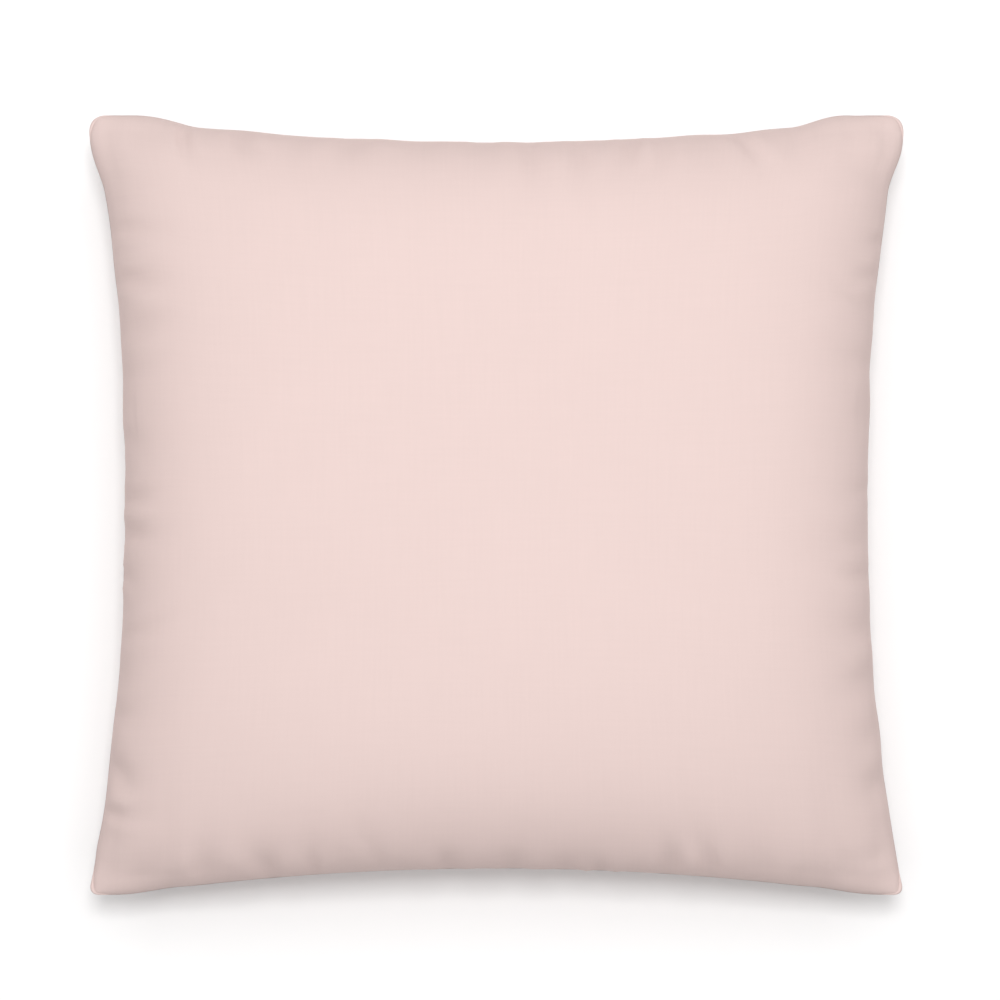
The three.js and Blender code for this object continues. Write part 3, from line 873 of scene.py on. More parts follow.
    def lifted(self, points: np.ndarray, level: np.ndarray | float) -> np.ndarray:
        """Plan points as points of the frame, `level` over the seam plane."""
        height = np.broadcast_to(self.level + np.asarray(level), points.shape[:-1])
        return np.concatenate([points, height[..., None]], axis=-1)

    def three_sides(self) -> np.ndarray:
        """The sewn seam up the left side, along the top and down the right side.

        Returns:
            Plan points, shape (n, 2).
        """
        t = np.linspace(-1, 1, 400)
        left, top, right = (self.line(edge, t) for edge in (Edge.LEFT, Edge.TOP, Edge.RIGHT))
        return np.concatenate([left[4:], top[1:], right[::-1][1:-4]])


# ---- Cloth under the pressure of its filling ----


@dataclass
class BlownPanel:
    """One cover panel as a grid: cut flat, sewn to the seam line, and blown out by the filling."""

    plan: SeamPlan
    cut_x: float = 457 * MM
    cut_y: float = 438 * MM
    cells_x: int = 108
    cells_y: int = 104
    frames: int = 24
    pressure: float = 4.0
    start_height: float = 70 * MM
    fullness: float = 0.55
    crowding: float = 0.6
    edge_rows: int = 14
    edge_out: float = 0.30
    edge_up: float = 1.55
    fill_power: float = 1.9
    corner_thin: float = 0.2
    calm_reach: float = 62 * MM
    calm_passes: int = 40
    corner_reach: float = 30 * MM

    def stations(self, finer: int = 1) -> tuple[np.ndarray, np.ndarray]:
        """Grid stations from -1 to 1, closer together near the seams.

        Args:
            finer: How many times finer than the simulation's grid.

        Returns:
            Stations across, and stations up.
        """
        even = (np.linspace(-1, 1, cells * finer + 1) for cells in (self.cells_x, self.cells_y))
        across, up = (t + self.crowding * np.sin(math.pi * t) / math.pi for t in even)
        return across, up

    def pattern(self, finer: int = 1) -> np.ndarray:
        """Flat pattern coordinates of the grid."""
        u, v = self.stations(finer)
        return np.stack(np.meshgrid(u * self.cut_x / 2, v * self.cut_y / 2, indexing="ij"), axis=-1)

    def start(self) -> np.ndarray:
        """Lay the grid over its seam line, on a plain crown.

        Returns:
            Points, shape (n, m, 3).
        """
        u, v = self.stations()
        crown = (np.outer(1 - u * u, 1 - v * v)) ** self.fullness
        return np.concatenate([self.plan.spread(u, v), self.start_height * crown[..., None]], axis=-1)

    def blow(self) -> np.ndarray:
        """Find the panel's shape.

        Returns:
            Points, twice as fine as the simulation's, with heights from 0 at the seam to 1 at the crown.
        """
        grid = self.simulate(self.start())
        self.calm_corners(grid)
        fine = halved(halved(grid).transpose(1, 0, 2)).transpose(1, 0, 2)
        u, v = self.stations(2)
        outline = self.plan.spread(u, v)
        for rim in (np.s_[0, :], np.s_[-1, :], np.s_[:, 0], np.s_[:, -1]):
            fine[rim] = np.concatenate([outline[rim], np.zeros((*outline[rim].shape[:-1], 1))], axis=-1)
        for turned in (fine, fine[::-1], fine.transpose(1, 0, 2), fine[:, ::-1].transpose(1, 0, 2)):
            self.round_edge(turned)
        lift = fine[..., 2] * self.corner_ease(outline)
        fine[..., 2] = 1 - (1 - lift / lift.max()) ** self.fill_power
        return fine

    def calm_corners(self, grid: np.ndarray) -> None:
        """Ease out the fine wrinkles of a thin trial cloth near its corners.

        Args:
            grid: Points, changed in place.
        """
        away = (self.cut_x / 2, self.cut_y / 2) - np.abs(self.pattern())
        near = np.exp(-((np.linalg.norm(away, axis=-1) / self.calm_reach) ** 2))[1:-1, 1:-1, None]
        for _ in range(self.calm_passes):
            middle = (grid[2:, 1:-1] + grid[:-2, 1:-1] + grid[1:-1, 2:] + grid[1:-1, :-2]) / 4
            grid[1:-1, 1:-1] += near * (middle - grid[1:-1, 1:-1])

    def round_edge(self, grid: np.ndarray) -> None:
        """Roll the cloth smoothly up from the seam along a grid's first row.

        Args:
            grid: Points, changed in place.
        """
        rows = self.edge_rows
        inner = grid[:, 1:-1]
        start, end = inner[0], inner[rows]
        leave = (end - start) * (self.edge_out, self.edge_out, self.edge_up)
        reach = (inner[rows + 1] - inner[rows - 1]) * rows / 2
        for k in range(1, rows):
            t = k / rows
            a, b = (1 + 2 * t) * (1 - t) ** 2, t * (1 - t) ** 2
            c, d = t * t * (3 - 2 * t), t * t * (t - 1)
            inner[k] = a * start + b * leave + c * end + d * reach

    def corner_ease(self, outline: np.ndarray) -> np.ndarray:
        """How far the filling lifts the cloth near its corners, which stay thin.

        Args:
            outline: The grid's plan points.

        Returns:
            Shares of the full height.
        """
        away = (self.plan.half_x, self.plan.half_y) - np.abs(outline)
        return 1 - self.corner_thin * np.exp(-((np.linalg.norm(away, axis=-1) / self.corner_reach) ** 2))

    def simulate(self, grid: np.ndarray) -> np.ndarray:
        """Blow the flat-cut cloth out to rest between its pinned seams.

        Args:
            grid: Where the cloth starts.

        Returns:
            Where it comes to rest, in the same shape.
        """
        draft = MeshDraft()
        index = draft.add_points(grid)
        draft.add_faces(index, self.pattern())
        cloth = draft.to_object("cloth_trial")
        cloth.shape_key_add(name="sewn")
        cut = cloth.shape_key_add(name="flat_cut")
        flat = np.concatenate([self.pattern(), np.zeros((*grid.shape[:2], 1))], axis=-1)
        cut.data.foreach_set("co", flat.astype(np.float32).ravel())
        cut.value = 0.0
        seam = cloth.vertex_groups.new(name="seam")
        rim = np.concatenate([index[0], index[-1], index[:, 0], index[:, -1]])
        seam.add([int(k) for k in np.unique(rim)], 1.0, "REPLACE")
        modifier = cloth.modifiers.new("blown", "CLOTH")
        self.set_cloth(modifier, cut)
        scene = bpy.context.scene
        for frame_number in range(1, self.frames + 1):
            scene.frame_set(frame_number)
        settled = cloth.evaluated_get(bpy.context.evaluated_depsgraph_get())
        mesh = settled.to_mesh()
        points = np.empty(len(mesh.vertices) * 3, np.float32)
        mesh.vertices.foreach_get("co", points)
        settled.to_mesh_clear()
        bpy.data.objects.remove(cloth)
        scene.frame_set(1)
        return points.reshape(grid.shape).astype(float)

    def set_cloth(self, modifier: bpy.types.Modifier, cut: bpy.types.ShapeKey) -> None:
        """Set the simulation's cloth.

        Args:
            modifier: The Cloth modifier.
            cut: Shape key of the flat-cut panel, to which the cloth's own lengths belong.
        """
        cloth = modifier.settings
        cloth.quality = 6
        cloth.mass = 0.3
        cloth.air_damping = 1.0
        cloth.tension_stiffness = cloth.compression_stiffness = 15.0
        cloth.shear_stiffness = 5.0
        cloth.bending_stiffness = 0.5
        cloth.tension_damping = cloth.compression_damping = cloth.shear_damping = 5.0
        cloth.bending_damping = 0.5
        cloth.use_pressure = True
        cloth.uniform_pressure_force = self.pressure
        cloth.vertex_group_mass = "seam"
        cloth.pin_stiffness = 1.0
        cloth.rest_shape_key = cut
        cloth.effector_weights.gravity = 0.0
        modifier.collision_settings.use_collision = False
        modifier.collision_settings.use_self_collision = False
        modifier.point_cache.frame_start = 1
        modifier.point_cache.frame_end = self.frames


@dataclass
class Gathers:
    """Soft puckers that run in from the seams, with the faint unevenness of the filling."""

    seed: int
    spacing: tuple[float, float] = (17 * MM, 40 * MM)
    length: tuple[float, float] = (16 * MM, 52 * MM)
    width: tuple[float, float] = (3.2 * MM, 7.5 * MM)
    depth: tuple[float, float] = (0.5 * MM, 2.1 * MM)
    corner_clear: float = 14 * MM
    lumps: int = 26
    lump_height: float = 0.55 * MM

    def run(self, rng: np.random.Generator, along: np.ndarray, inward: np.ndarray, half: float) -> np.ndarray:
        """Puckers of one side.

        Args:
            rng: Source of its random draws.
            along: Each point's distance along the seam.
            inward: Each point's distance in from the seam.
            half: Half the seam's length.

        Returns:
            How far each point moves out along its normal.
        """
        total = np.zeros_like(along)
        at = -half + self.corner_clear + rng.uniform(0, self.spacing[0])
        while at < half - self.corner_clear:
            length, width = rng.uniform(*self.length), rng.uniform(*self.width)
            slant, depth = rng.normal(0, 0.22), rng.uniform(*self.depth)
            q = (along - at - slant * inward) / (width * (1 + 0.9 * inward / length))
            rise = np.maximum(inward, 0) / (0.3 * length)
            total -= depth * (1 - q * q) * np.exp(-q * q / 2) * (rise * np.exp(1 - rise)) ** 2
            at += rng.uniform(*self.spacing)
        return total

    def offsets(self, pattern: np.ndarray) -> np.ndarray:
        """All four sides' puckers and the filling's lumps.

        Args:
            pattern: The panel's flat pattern coordinates, shape (n, m, 2).

        Returns:
            Offsets along the normals, shape (n, m).
        """
        rng = np.random.default_rng(self.seed)
        x, y = pattern[..., 0], pattern[..., 1]
        half_x, half_y = x.max(), y.max()
        total = self.run(rng, x, half_y - y, half_x) + self.run(rng, x, half_y + y, half_x)
        total += self.run(rng, y, half_x - x, half_y) + self.run(rng, y, half_x + x, half_y)
        corner = np.hypot(half_x - np.abs(x), half_y - np.abs(y))
        total *= 0.35 + 0.65 * smooth((corner - 25 * MM) / (45 * MM))
        inside = smooth((np.minimum(half_x - np.abs(x), half_y - np.abs(y)) - 6 * MM) / (45 * MM))
        for _ in range(self.lumps):
            place = rng.uniform(-0.8, 0.8, 2) * (half_x, half_y)
            spread = rng.uniform(22 * MM, 60 * MM, 2)
            lump = np.exp(-(((x - place[0]) / spread[0]) ** 2) - ((y - place[1]) / spread[1]) ** 2)
            total += rng.normal(0, self.lump_height) * lump * inside
        return total


def grid_normals(grid: np.ndarray) -> np.ndarray:
    """Normals of a grid of points, shape (n, m, 3), on the side of +Z."""
    across, up = np.gradient(grid, axis=0), np.gradient(grid, axis=1)
    return unit(np.cross(across, up))


def settled(height: np.ndarray, blend: float) -> np.ndarray:
    """Heights over the surface the cushion lies on: level where it touches, rolling off it over `blend`."""
    rolled = (height + blend) ** 2 / (4 * blend)
    return np.where(height <= -blend, 0.0, np.where(height >= blend, height, rolled))


def rim_ring(grid: np.ndarray) -> np.ndarray:
    """The rim of a grid, once round, shape (k, ...)."""
    return np.concatenate([grid[:-1, 0], grid[-1, :-1], grid[:0:-1, -1], grid[0, :0:-1]])


# ---- Cover ----


@dataclass
class Cover:
    """The removable cover: two cloth panels, their allowances, and the thread that joins them."""

    plan: SeamPlan
    blown: BlownPanel
    shape: np.ndarray
    finishes: Wardrobe
    top: float
    belly: float = 76 * MM
    cloth: float = 0.7 * MM
    seam_gap: float = 0.22 * MM
    mouth_gap: float = 4.6 * MM
    mouth_half: float = 165.03 * MM
    mouth_closing: float = 13 * MM
    mouth_fade: int = 8
    allowance: float = 10 * MM
    lip_depth: float = 7 * MM
    roll: float = 0.55 * MM
    roll_rows: tuple[tuple[float, float], ...] = ((0.10, 0.55), (0.45, 0.92), (1.2, 1.0), (4.0, 1.0))
    settle_blend: float = 3 * MM
    stitch: float = 2.6 * MM
    thread: float = 0.17 * MM
    seam_inset: float = 1.3 * MM
    overlock_step: float = 2.4 * MM

    def mouth_at(self, x: np.ndarray) -> np.ndarray:
        """1 along the zip's mouth, 0 where the seam is closed."""
        return 1 - smooth((np.abs(x) - self.mouth_half) / self.mouth_closing)

    def away(self, side: Side) -> np.ndarray:
        """The panel's points, with heights measured out from the seam plane.

        Args:
            side: Which panel.

        Returns:
            Points, shape (n, m, 3).
        """
        grid = self.shape.copy()
        bulge = self.top - self.plan.level if side is Side.FRONT else self.belly
        v = self.blown.stations(2)[1]
        near = ((1 - v) / 2)[None, :] ** self.mouth_fade
        gap = self.seam_gap + (self.mouth_gap - self.seam_gap) * self.mouth_at(grid[..., 0]) * near
        raised = grid[..., 2].copy()
        grid[..., 2] = gap + (bulge - gap) * raised
        gathers = Gathers(seed=5 if side is Side.FRONT else 8).offsets(self.blown.pattern(2))
        grid += gathers[..., None] * grid_normals(grid)
        grid[..., 2] *= bulge / grid[..., 2].max()
        return grid

    def panel(self, side: Side) -> bpy.types.Object:
        """Make one panel with its turned-in allowances.

        Args:
            side: Which panel.

        Returns:
            The piece.
        """
        grid = self.away(side)
        flat = self.blown.pattern(2)
        draft = MeshDraft()
        index = draft.add_points(self.place(grid, side))
        draft.add_faces(index, flat)
        rim, rim_flat, last = rim_ring(grid), rim_ring(flat), rim_ring(index)
        on_zip = np.arange(len(rim)) < len(grid) - 1
        mouth = np.where(on_zip, self.mouth_at(rim[:, 0]), 0.0)
        tip = self.allowance + (self.lip_depth - self.allowance) * mouth
        corner = rim_flat / np.array([self.blown.cut_x, self.blown.cut_y]) * 2
        last_flat = rim_flat
        rows = [(np.full(len(rim), depth * MM), sunk) for depth, sunk in self.roll_rows]
        for deep, sunk in (*rows, (tip, 1.0)):
            inner = self.plan.drawn_in(rim[:, :2], deep)
            level = rim[:, 2] + self.roll * (1 - sunk)
            ring = draft.add_points(self.place(np.concatenate([inner, level[:, None]], axis=1), side))
            ring_flat = rim_flat + corner * deep[:, None]
            rows_index = np.stack([closed_up(last), closed_up(ring)])
            draft.add_faces(rows_index, np.stack([closed_up(last_flat), closed_up(ring_flat)]))
            last, last_flat = ring, ring_flat
        piece = draft.to_object("cover_front_cloth" if side is Side.FRONT else "cover_back_cloth")
        if side is Side.BACK:
            piece.data.flip_normals()
        hem_thickness(piece, self.cloth)
        return piece

    def place(self, points: np.ndarray, side: Side) -> np.ndarray:
        """Put points of a panel into the frame, settled where the cushion lies.

        Args:
            points: Points whose third coordinate is measured out from the seam plane.
            side: Which panel.

        Returns:
            Points, in the frame.
        """
        made = points.copy()
        height = self.plan.level + side.value * points[..., 2]
        made[..., 2] = height if side is Side.FRONT else settled(height, self.settle_blend)
        return made

    def lock_stitches(self, path: np.ndarray) -> MeshDraft:
        """Top and bottom threads of a lock-stitched seam, which cross at each hole.

        Args:
            path: The seam line in plan.

        Returns:
            The two threads.
        """
        steps = 6
        inner = even_steps(self.plan.drawn_in(path, self.seam_inset), self.stitch / steps)
        along = np.arange(len(inner)) / steps
        mouth = np.where(inner[:, 1] < 0, self.mouth_at(inner[:, 0]), 0.0)
        reach = self.cloth + self.seam_gap + self.thread + mouth * (self.mouth_gap - self.seam_gap)
        lift = np.abs(np.sin(along * math.pi)) ** 0.5 * reach
        draft = MeshDraft()
        for way in (1, -1):
            draft.add_tube(self.plan.lifted(inner, way * lift), self.thread, 6, np.array([0.0, 0.0, 1.0]))
        return draft

    def overlock(self, path: np.ndarray) -> MeshDraft:
        """Thread looped over the raw edges of both allowances.

        Args:
            path: The seam line in plan.

        Returns:
            The looped thread and the one along the raw edge.
        """
        turns_per_step = 10
        centre, reach = self.allowance - 1.9 * MM, 2.4 * MM
        inner = even_steps(path, self.overlock_step / turns_per_step)
        turn = np.arange(len(inner)) / turns_per_step * math.tau
        looped = self.plan.drawn_in(inner, centre + reach * np.cos(turn))
        level = (self.cloth + self.seam_gap + 0.3 * MM) * np.sin(turn)
        ahead = self.plan.lifted(np.gradient(inner, axis=0), -self.plan.level)
        draft = MeshDraft()
        draft.add_tube(self.plan.lifted(looped, level), self.thread, 5, unit(ahead))
        edge = even_steps(self.plan.drawn_in(path, self.allowance + 0.75 * MM), 0.6 * MM)
        beat = 0.25 * MM * np.sin(np.arange(len(edge)) * math.tau / 4)
        draft.add_tube(self.plan.lifted(edge, beat), self.thread, 5, np.array([0.0, 0.0, 1.0]))
        return draft

    def build(self) -> None:
        """Make the panels and their seams."""
        for side, node in ((Side.FRONT, "front_panel"), (Side.BACK, "back_panel")):
            piece = self.panel(side)
            seat(piece, "cushion", "cover_cloth", self.finishes.cover, node)
        sides = self.plan.three_sides()
        self.sewn("cover_seam_stitches", self.lock_stitches(sides), "seam_thread_sides")
        self.sewn("cover_overlock", self.overlock(sides), "overlock_thread_sides")
        for word, way in (("left", -1), ("right", 1)):
            x = way * np.linspace(self.mouth_half + 9 * MM, self.plan.half_x - 3 * MM, 90)
            path = self.plan.line(Edge.ZIP, x / self.plan.half_x)
            name = f"zip_end_stitches_{word}"
            self.sewn(name, self.lock_stitches(path), f"seam_thread_zip_{word}")

    def sewn(self, name: str, draft: MeshDraft, node: str) -> None:
        """Finish one run of the cover's stitching."""
        seat(draft.to_object(name), "cushion", "cover_thread", self.finishes.thread, node)


# ---- Cast and moulded zip parts ----


class Casting:
    """A small cast part, put together from slabs in millimetres and then rounded as one body."""

    def __init__(self, name: str) -> None:
        """Start an empty casting with the piece's name."""
        self.name = name
        self.slabs: list[bpy.types.Object] = []

    def slab(
        self, outline: np.ndarray, low: float, high: float, plane: tuple[int, int, int]
    ) -> bpy.types.Object:
        """Make a straight-sided slab.

        Args:
            outline: Corners in its plane, anticlockwise, shape (k, 2), in millimetres.
            low: Where it starts across that plane.
            high: Where it ends.
            plane: Axes of the outline's first and second coordinate, and of its thickness.

        Returns:
            The slab's object.
        """
        count = len(outline)
        points = np.zeros((2 * count, 3))
        for k, level in enumerate((low, high)):
            points[k * count : (k + 1) * count, plane[0]] = outline[:, 0]
            points[k * count : (k + 1) * count, plane[1]] = outline[:, 1]
            points[k * count : (k + 1) * count, plane[2]] = level
        faces = [list(range(count))[::-1], list(range(count, 2 * count))]
        faces += [[k, (k + 1) % count, count + (k + 1) % count, count + k] for k in range(count)]
        mesh = bpy.data.meshes.new(self.name)
        mesh.from_pydata(points.tolist(), [], faces)
        handed = np.linalg.det(np.eye(3)[list(plane)])
        if handed < 0:
            mesh.flip_normals()
        made = bpy.data.objects.new(self.name, mesh)
        bpy.context.scene.collection.objects.link(made)
        return made

    def add(self, outline: np.ndarray, low: float, high: float, plane: tuple[int, int, int]) -> None:
        """Add a slab to the casting, with the arguments of `slab`."""
        self.slabs.append(self.slab(outline, low, high, plane))

    def cut(self, outline: np.ndarray, low: float, high: float, plane: tuple[int, int, int]) -> None:
        """Cut a slab out of the casting's first slab.

        Args:
            outline: Corners in its plane.
            low: Where the cut starts across that plane.
            high: Where it ends.
            plane: Axes of the outline and of its thickness.
        """
        cutter = self.slab(outline, low, high, plane)
        modifier = self.slabs[0].modifiers.new("cut", "BOOLEAN")
        modifier.operation = "DIFFERENCE"
        modifier.object = cutter
        self.bake(self.slabs[0])
        bpy.data.objects.remove(cutter)

    def bake(self, made: bpy.types.Object) -> None:
        """Put an object's modifiers into its mesh.

        Args:
            made: The object, which loses its modifiers.
        """
        graph = bpy.context.evaluated_depsgraph_get()
        mesh = bpy.data.meshes.new_from_object(made.evaluated_get(graph))
        made.modifiers.clear()
        made.data = mesh

    def pour(self, grain: float, rounding: int) -> bpy.types.Object:
        """Fuse the slabs into one rounded body.

        Args:
            grain: Size of the faces, in millimetres.
            rounding: How many times its edges are smoothed.

        Returns:
            The object, still in millimetres.
        """
        whole = self.slabs[0]
        with bpy.context.temp_override(active_object=whole, selected_editable_objects=self.slabs):
            if len(self.slabs) > 1:
                bpy.ops.object.join()
        remesh = whole.modifiers.new("fuse", "REMESH")
        remesh.mode = "VOXEL"
        remesh.voxel_size = grain
        remesh.use_smooth_shade = True
        soften = whole.modifiers.new("soften", "SMOOTH")
        soften.factor = 0.5
        soften.iterations = rounding
        self.bake(whole)
        whole.data.shade_smooth()
        whole.name = self.name
        return whole


def rounded(corners: np.ndarray, radius: float, steps: int = 5) -> np.ndarray:
    """Round the corners of an outline.

    Args:
        corners: Its corners in order, shape (k, 2).
        radius: How far from each corner the rounding starts.
        steps: Points along each rounding.

    Returns:
        The rounded outline.
    """
    made = []
    for k, corner in enumerate(corners):
        before, after = corners[k - 1], corners[(k + 1) % len(corners)]
        start = corner + unit(before - corner) * radius
        end = corner + unit(after - corner) * radius
        for s in np.linspace(0, 1, steps):
            made.append((1 - s) ** 2 * start + 2 * s * (1 - s) * corner + s * s * end)
    return np.array(made)


def box_outline(x0: float, x1: float, y0: float, y1: float) -> np.ndarray:
    """The four corners of a box, anticlockwise."""
    return np.array([[x0, y0], [x1, y0], [x1, y1], [x0, y1]])


def disc_outline(x: float, y: float, radius: float, steps: int = 28) -> np.ndarray:
    """Points round a disc, anticlockwise."""
    turn = np.arange(steps) / steps * math.tau
    return np.stack([x + radius * np.cos(turn), y + radius * np.sin(turn)], axis=-1)


@dataclass
class ZipMetal:
    """The slider, its pull, and the stops, in satin nickel. Own sizes are in millimetres.

    The slider's own frame runs along the zip, inwards from the seam line, and across the zip.
    """

    plan: SeamPlan
    finishes: Wardrobe
    pivot: Vector
    pivot_inward: float = 2.904
    plate_front: float = 3.9
    plate_back: float = 4.9
    cheek_back: float = 6.8
    inner_front: float = 8.2
    inner_back: float = 9.2
    half_length: float = 4.5
    half_width: float = 3.7
    rear_width: float = 3.15
    shoulder: float = 3.2
    cheek: float = 0.75
    web: float = 0.38
    loop_inner: float = 1.096
    loop_bar: float = 0.9
    loop_width: float = 1.6
    pull_length: float = 21.5
    pull_width: float = 5.0
    pull_thick: float = 0.9
    coil_front: float = 5.3
    coil_back: float = 6.9
    coil_edge: float = 2.4
    coil_tip: float = 0.8
    stop_from: float = 152.43
    stop_length: float = 3.0

    def in_slider(self, piece: bpy.types.Object) -> None:
        """Move a piece from the slider's own frame, in millimetres, to where the slider is parked.

        Args:
            piece: The piece, changed in place.
        """
        points = self.read(piece) * MM
        out = np.array([self.pivot.x, self.pivot.y - self.plan.arc_centre_y, 0.0])
        inwards = unit(out)
        along = np.array([inwards[1], -inwards[0], 0.0])
        place = (
            np.array(self.pivot)
            + points[:, :1] * along
            + (points[:, 1:2] - self.pivot_inward * MM) * inwards
            + points[:, 2:] * np.array([0.0, 0.0, 1.0])
        )
        self.write(piece, place)

    def read(self, piece: bpy.types.Object) -> np.ndarray:
        """Read a mesh's points.

        Args:
            piece: Whose mesh is read.

        Returns:
            Points, shape (n, 3).
        """
        points = np.empty(len(piece.data.vertices) * 3, np.float32)
        piece.data.vertices.foreach_get("co", points)
        return points.reshape(-1, 3).astype(float)

    def write(self, piece: bpy.types.Object, points: np.ndarray) -> None:
        """Put points back into a mesh; a mirrored frame turns its faces round again.

        Args:
            piece: Whose mesh is changed.
            points: Its new points, shape (n, 3).
        """
        piece.data.vertices.foreach_set("co", points.astype(np.float32).ravel())
        piece.data.flip_normals()
        piece.data.update()

    def shield(self, shrink: float) -> np.ndarray:
        """The slider's plate in plan: broad where the zip opens, narrower behind.

        Args:
            shrink: How far inside the plate's own edge.

        Returns:
            Its outline.
        """
        wide, slim, end = self.half_width - shrink, self.rear_width - shrink, self.half_length
        left = np.array([[-end, -wide + 0.5], [-end + self.shoulder, -wide], [end, -slim]])
        return rounded(np.concatenate([left, (left * (1, -1))[::-1]]), 0.8)

    def cheek_outline(self, way: int) -> np.ndarray:
        """One side wall in plan, following the plate's taper.

        Args:
            way: 1 for one side of the slider, -1 for the other.

        Returns:
            Its outline, anticlockwise.
        """
        wide, slim, end = self.half_width - 0.05, self.rear_width - 0.05, self.half_length - 0.35
        outer = np.array([[-end, way * wide], [-end + self.shoulder, way * wide], [end, way * slim]])
        inner = (outer - (0, way * self.cheek))[::-1]
        return np.concatenate([outer, inner])[::-way]

    def slider(self) -> bpy.types.Object:
        """Cast the slider: outer plate with cheeks and bridge, divider and inner plate.

        Returns:
            The piece, in the slider's own frame.
        """
        flat, upright = (0, 2, 1), (0, 1, 2)
        end, web = self.half_length, self.web
        cast = Casting("cast_slider")
        cast.add(self.shield(0.0), self.plate_front, self.plate_back, flat)
        for way in (1, -1):
            cheek = self.cheek_outline(way)
            cast.add(cheek, self.plate_back - 0.4, self.cheek_back, flat)
            cast.add(cheek * (1, 0.97), self.inner_front - 0.35, self.inner_back - 0.3, flat)
        divider = rounded(box_outline(-end + 0.3, end - 4.2, -web, web), 0.3)
        cast.add(divider, self.plate_back - 0.5, self.inner_front + 0.5, flat)
        cast.add(self.shield(0.45), self.inner_front, self.inner_back, flat)
        cast.add(self.bridge(), -self.loop_width / 2, self.loop_width / 2, upright)
        return cast.pour(0.13, 3)

    def bridge(self) -> np.ndarray:
        """The arch over the pull's pivot bar, seen from the side.

        Returns:
            Its outline, along the zip and inwards.
        """
        turn = np.linspace(0, math.pi, 15)
        foot = self.plate_front + 0.5
        inner, outer = self.loop_inner, self.loop_inner + self.loop_bar
        arch = np.stack([np.cos(turn), -np.sin(turn)], axis=-1)
        over, under = ((0, self.pivot_inward) + radius * arch for radius in (outer, inner))
        feet = np.array([[inner, foot], [outer, foot]])
        return np.concatenate([feet, over, (feet * (-1, 1))[::-1], under[::-1]])[::-1]

    def pull(self) -> bpy.types.Object:
        """Cast the pull: a flat tab with a squared eye, a finger hole and a sunk panel on each face.

        Returns:
            The piece, in the slider's own frame.
        """
        flat = (0, 2, 1)
        half, back = self.pull_width / 2, -self.pull_thick / 2
        tip, chamfer = self.pull_length, 1.4
        waist = [[back, -half + 0.5], [3.2, -half + 0.3], [6.5, -half + 0.75], [10.5, -half]]
        neck = np.array([*waist, [tip - chamfer, -half], [tip, -half + chamfer]])
        outline = rounded(np.concatenate([neck, (neck * (1, -1))[::-1]]), 0.7)
        cast = Casting("cast_pull")
        cast.add(outline, self.pivot_inward + back, self.pivot_inward - back, flat)
        eye = self.loop_inner + self.loop_bar + 0.45
        side = self.loop_width / 2 + 0.45
        low, high = self.pivot_inward - 2, self.pivot_inward + 2
        cast.cut(box_outline(self.pull_thick / 2, eye, -side, side), low, high, flat)
        cast.cut(disc_outline(tip - half - 0.5, 0.0, 1.25), low, high, flat)
        panel = rounded(box_outline(6.4, tip - half - 2.7, -half + 1.45, half - 1.45), 0.6)
        for start, end in ((low, self.pivot_inward - 0.3), (self.pivot_inward + 0.3, high)):
            cast.cut(panel, start, end, flat)
        return cast.pour(0.12, 3)

    def stop(self, name: str, start: float, low: float, high: float) -> bpy.types.Object:
        """Press one stop round the coils, waisted like a staple.

        Args:
            name: Piece name.
            start: Where it starts along the zip.
            low: Its lower edge across the zip.
            high: Its upper edge.

        Returns:
            The piece, in the frame.
        """
        cast = Casting(name)
        end = start + self.stop_length
        body, flat = rounded(box_outline(start, end, low, high), 0.35), (0, 2, 1)
        cast.add(body, self.coil_front + 0.12, self.coil_back - 0.05, flat)
        for rib in (0.5, self.stop_length - 1.1):
            band = rounded(box_outline(start + rib, start + rib + 0.6, low + 0.1, high - 0.1), 0.2)
            cast.add(band, self.coil_front - 0.05, self.coil_front + 0.4, flat)
        piece = cast.pour(0.1, 2)
        points = self.read(piece) * MM
        self.write(piece, self.plan.on_arc(points[:, 0], points[:, 1], points[:, 2]))
        return piece

    def build(self) -> None:
        """Make every metal part of the zip."""
        moving = ((self.slider(), "slider", "zip_slider"), (self.pull(), "pull", "zip_pull_tab"))
        for piece, body, node in moving:
            self.in_slider(piece)
            seat(piece, body, "zip_metal", self.finishes.metal, node)
        tip, edge = self.coil_tip, self.coil_edge
        for word, low, high in (("front", tip, edge), ("back", -edge, -tip)):
            piece = self.stop(f"pressed_stop_{word}", -self.stop_from - self.stop_length, low, high)
            seat(piece, "cushion", "zip_metal", self.finishes.metal, f"zip_top_stop_{word}")
        piece = self.stop("pressed_end_stop", self.stop_from, -self.coil_edge, self.coil_edge)
        seat(piece, "cushion", "zip_metal", self.finishes.metal, "zip_bottom_stop")


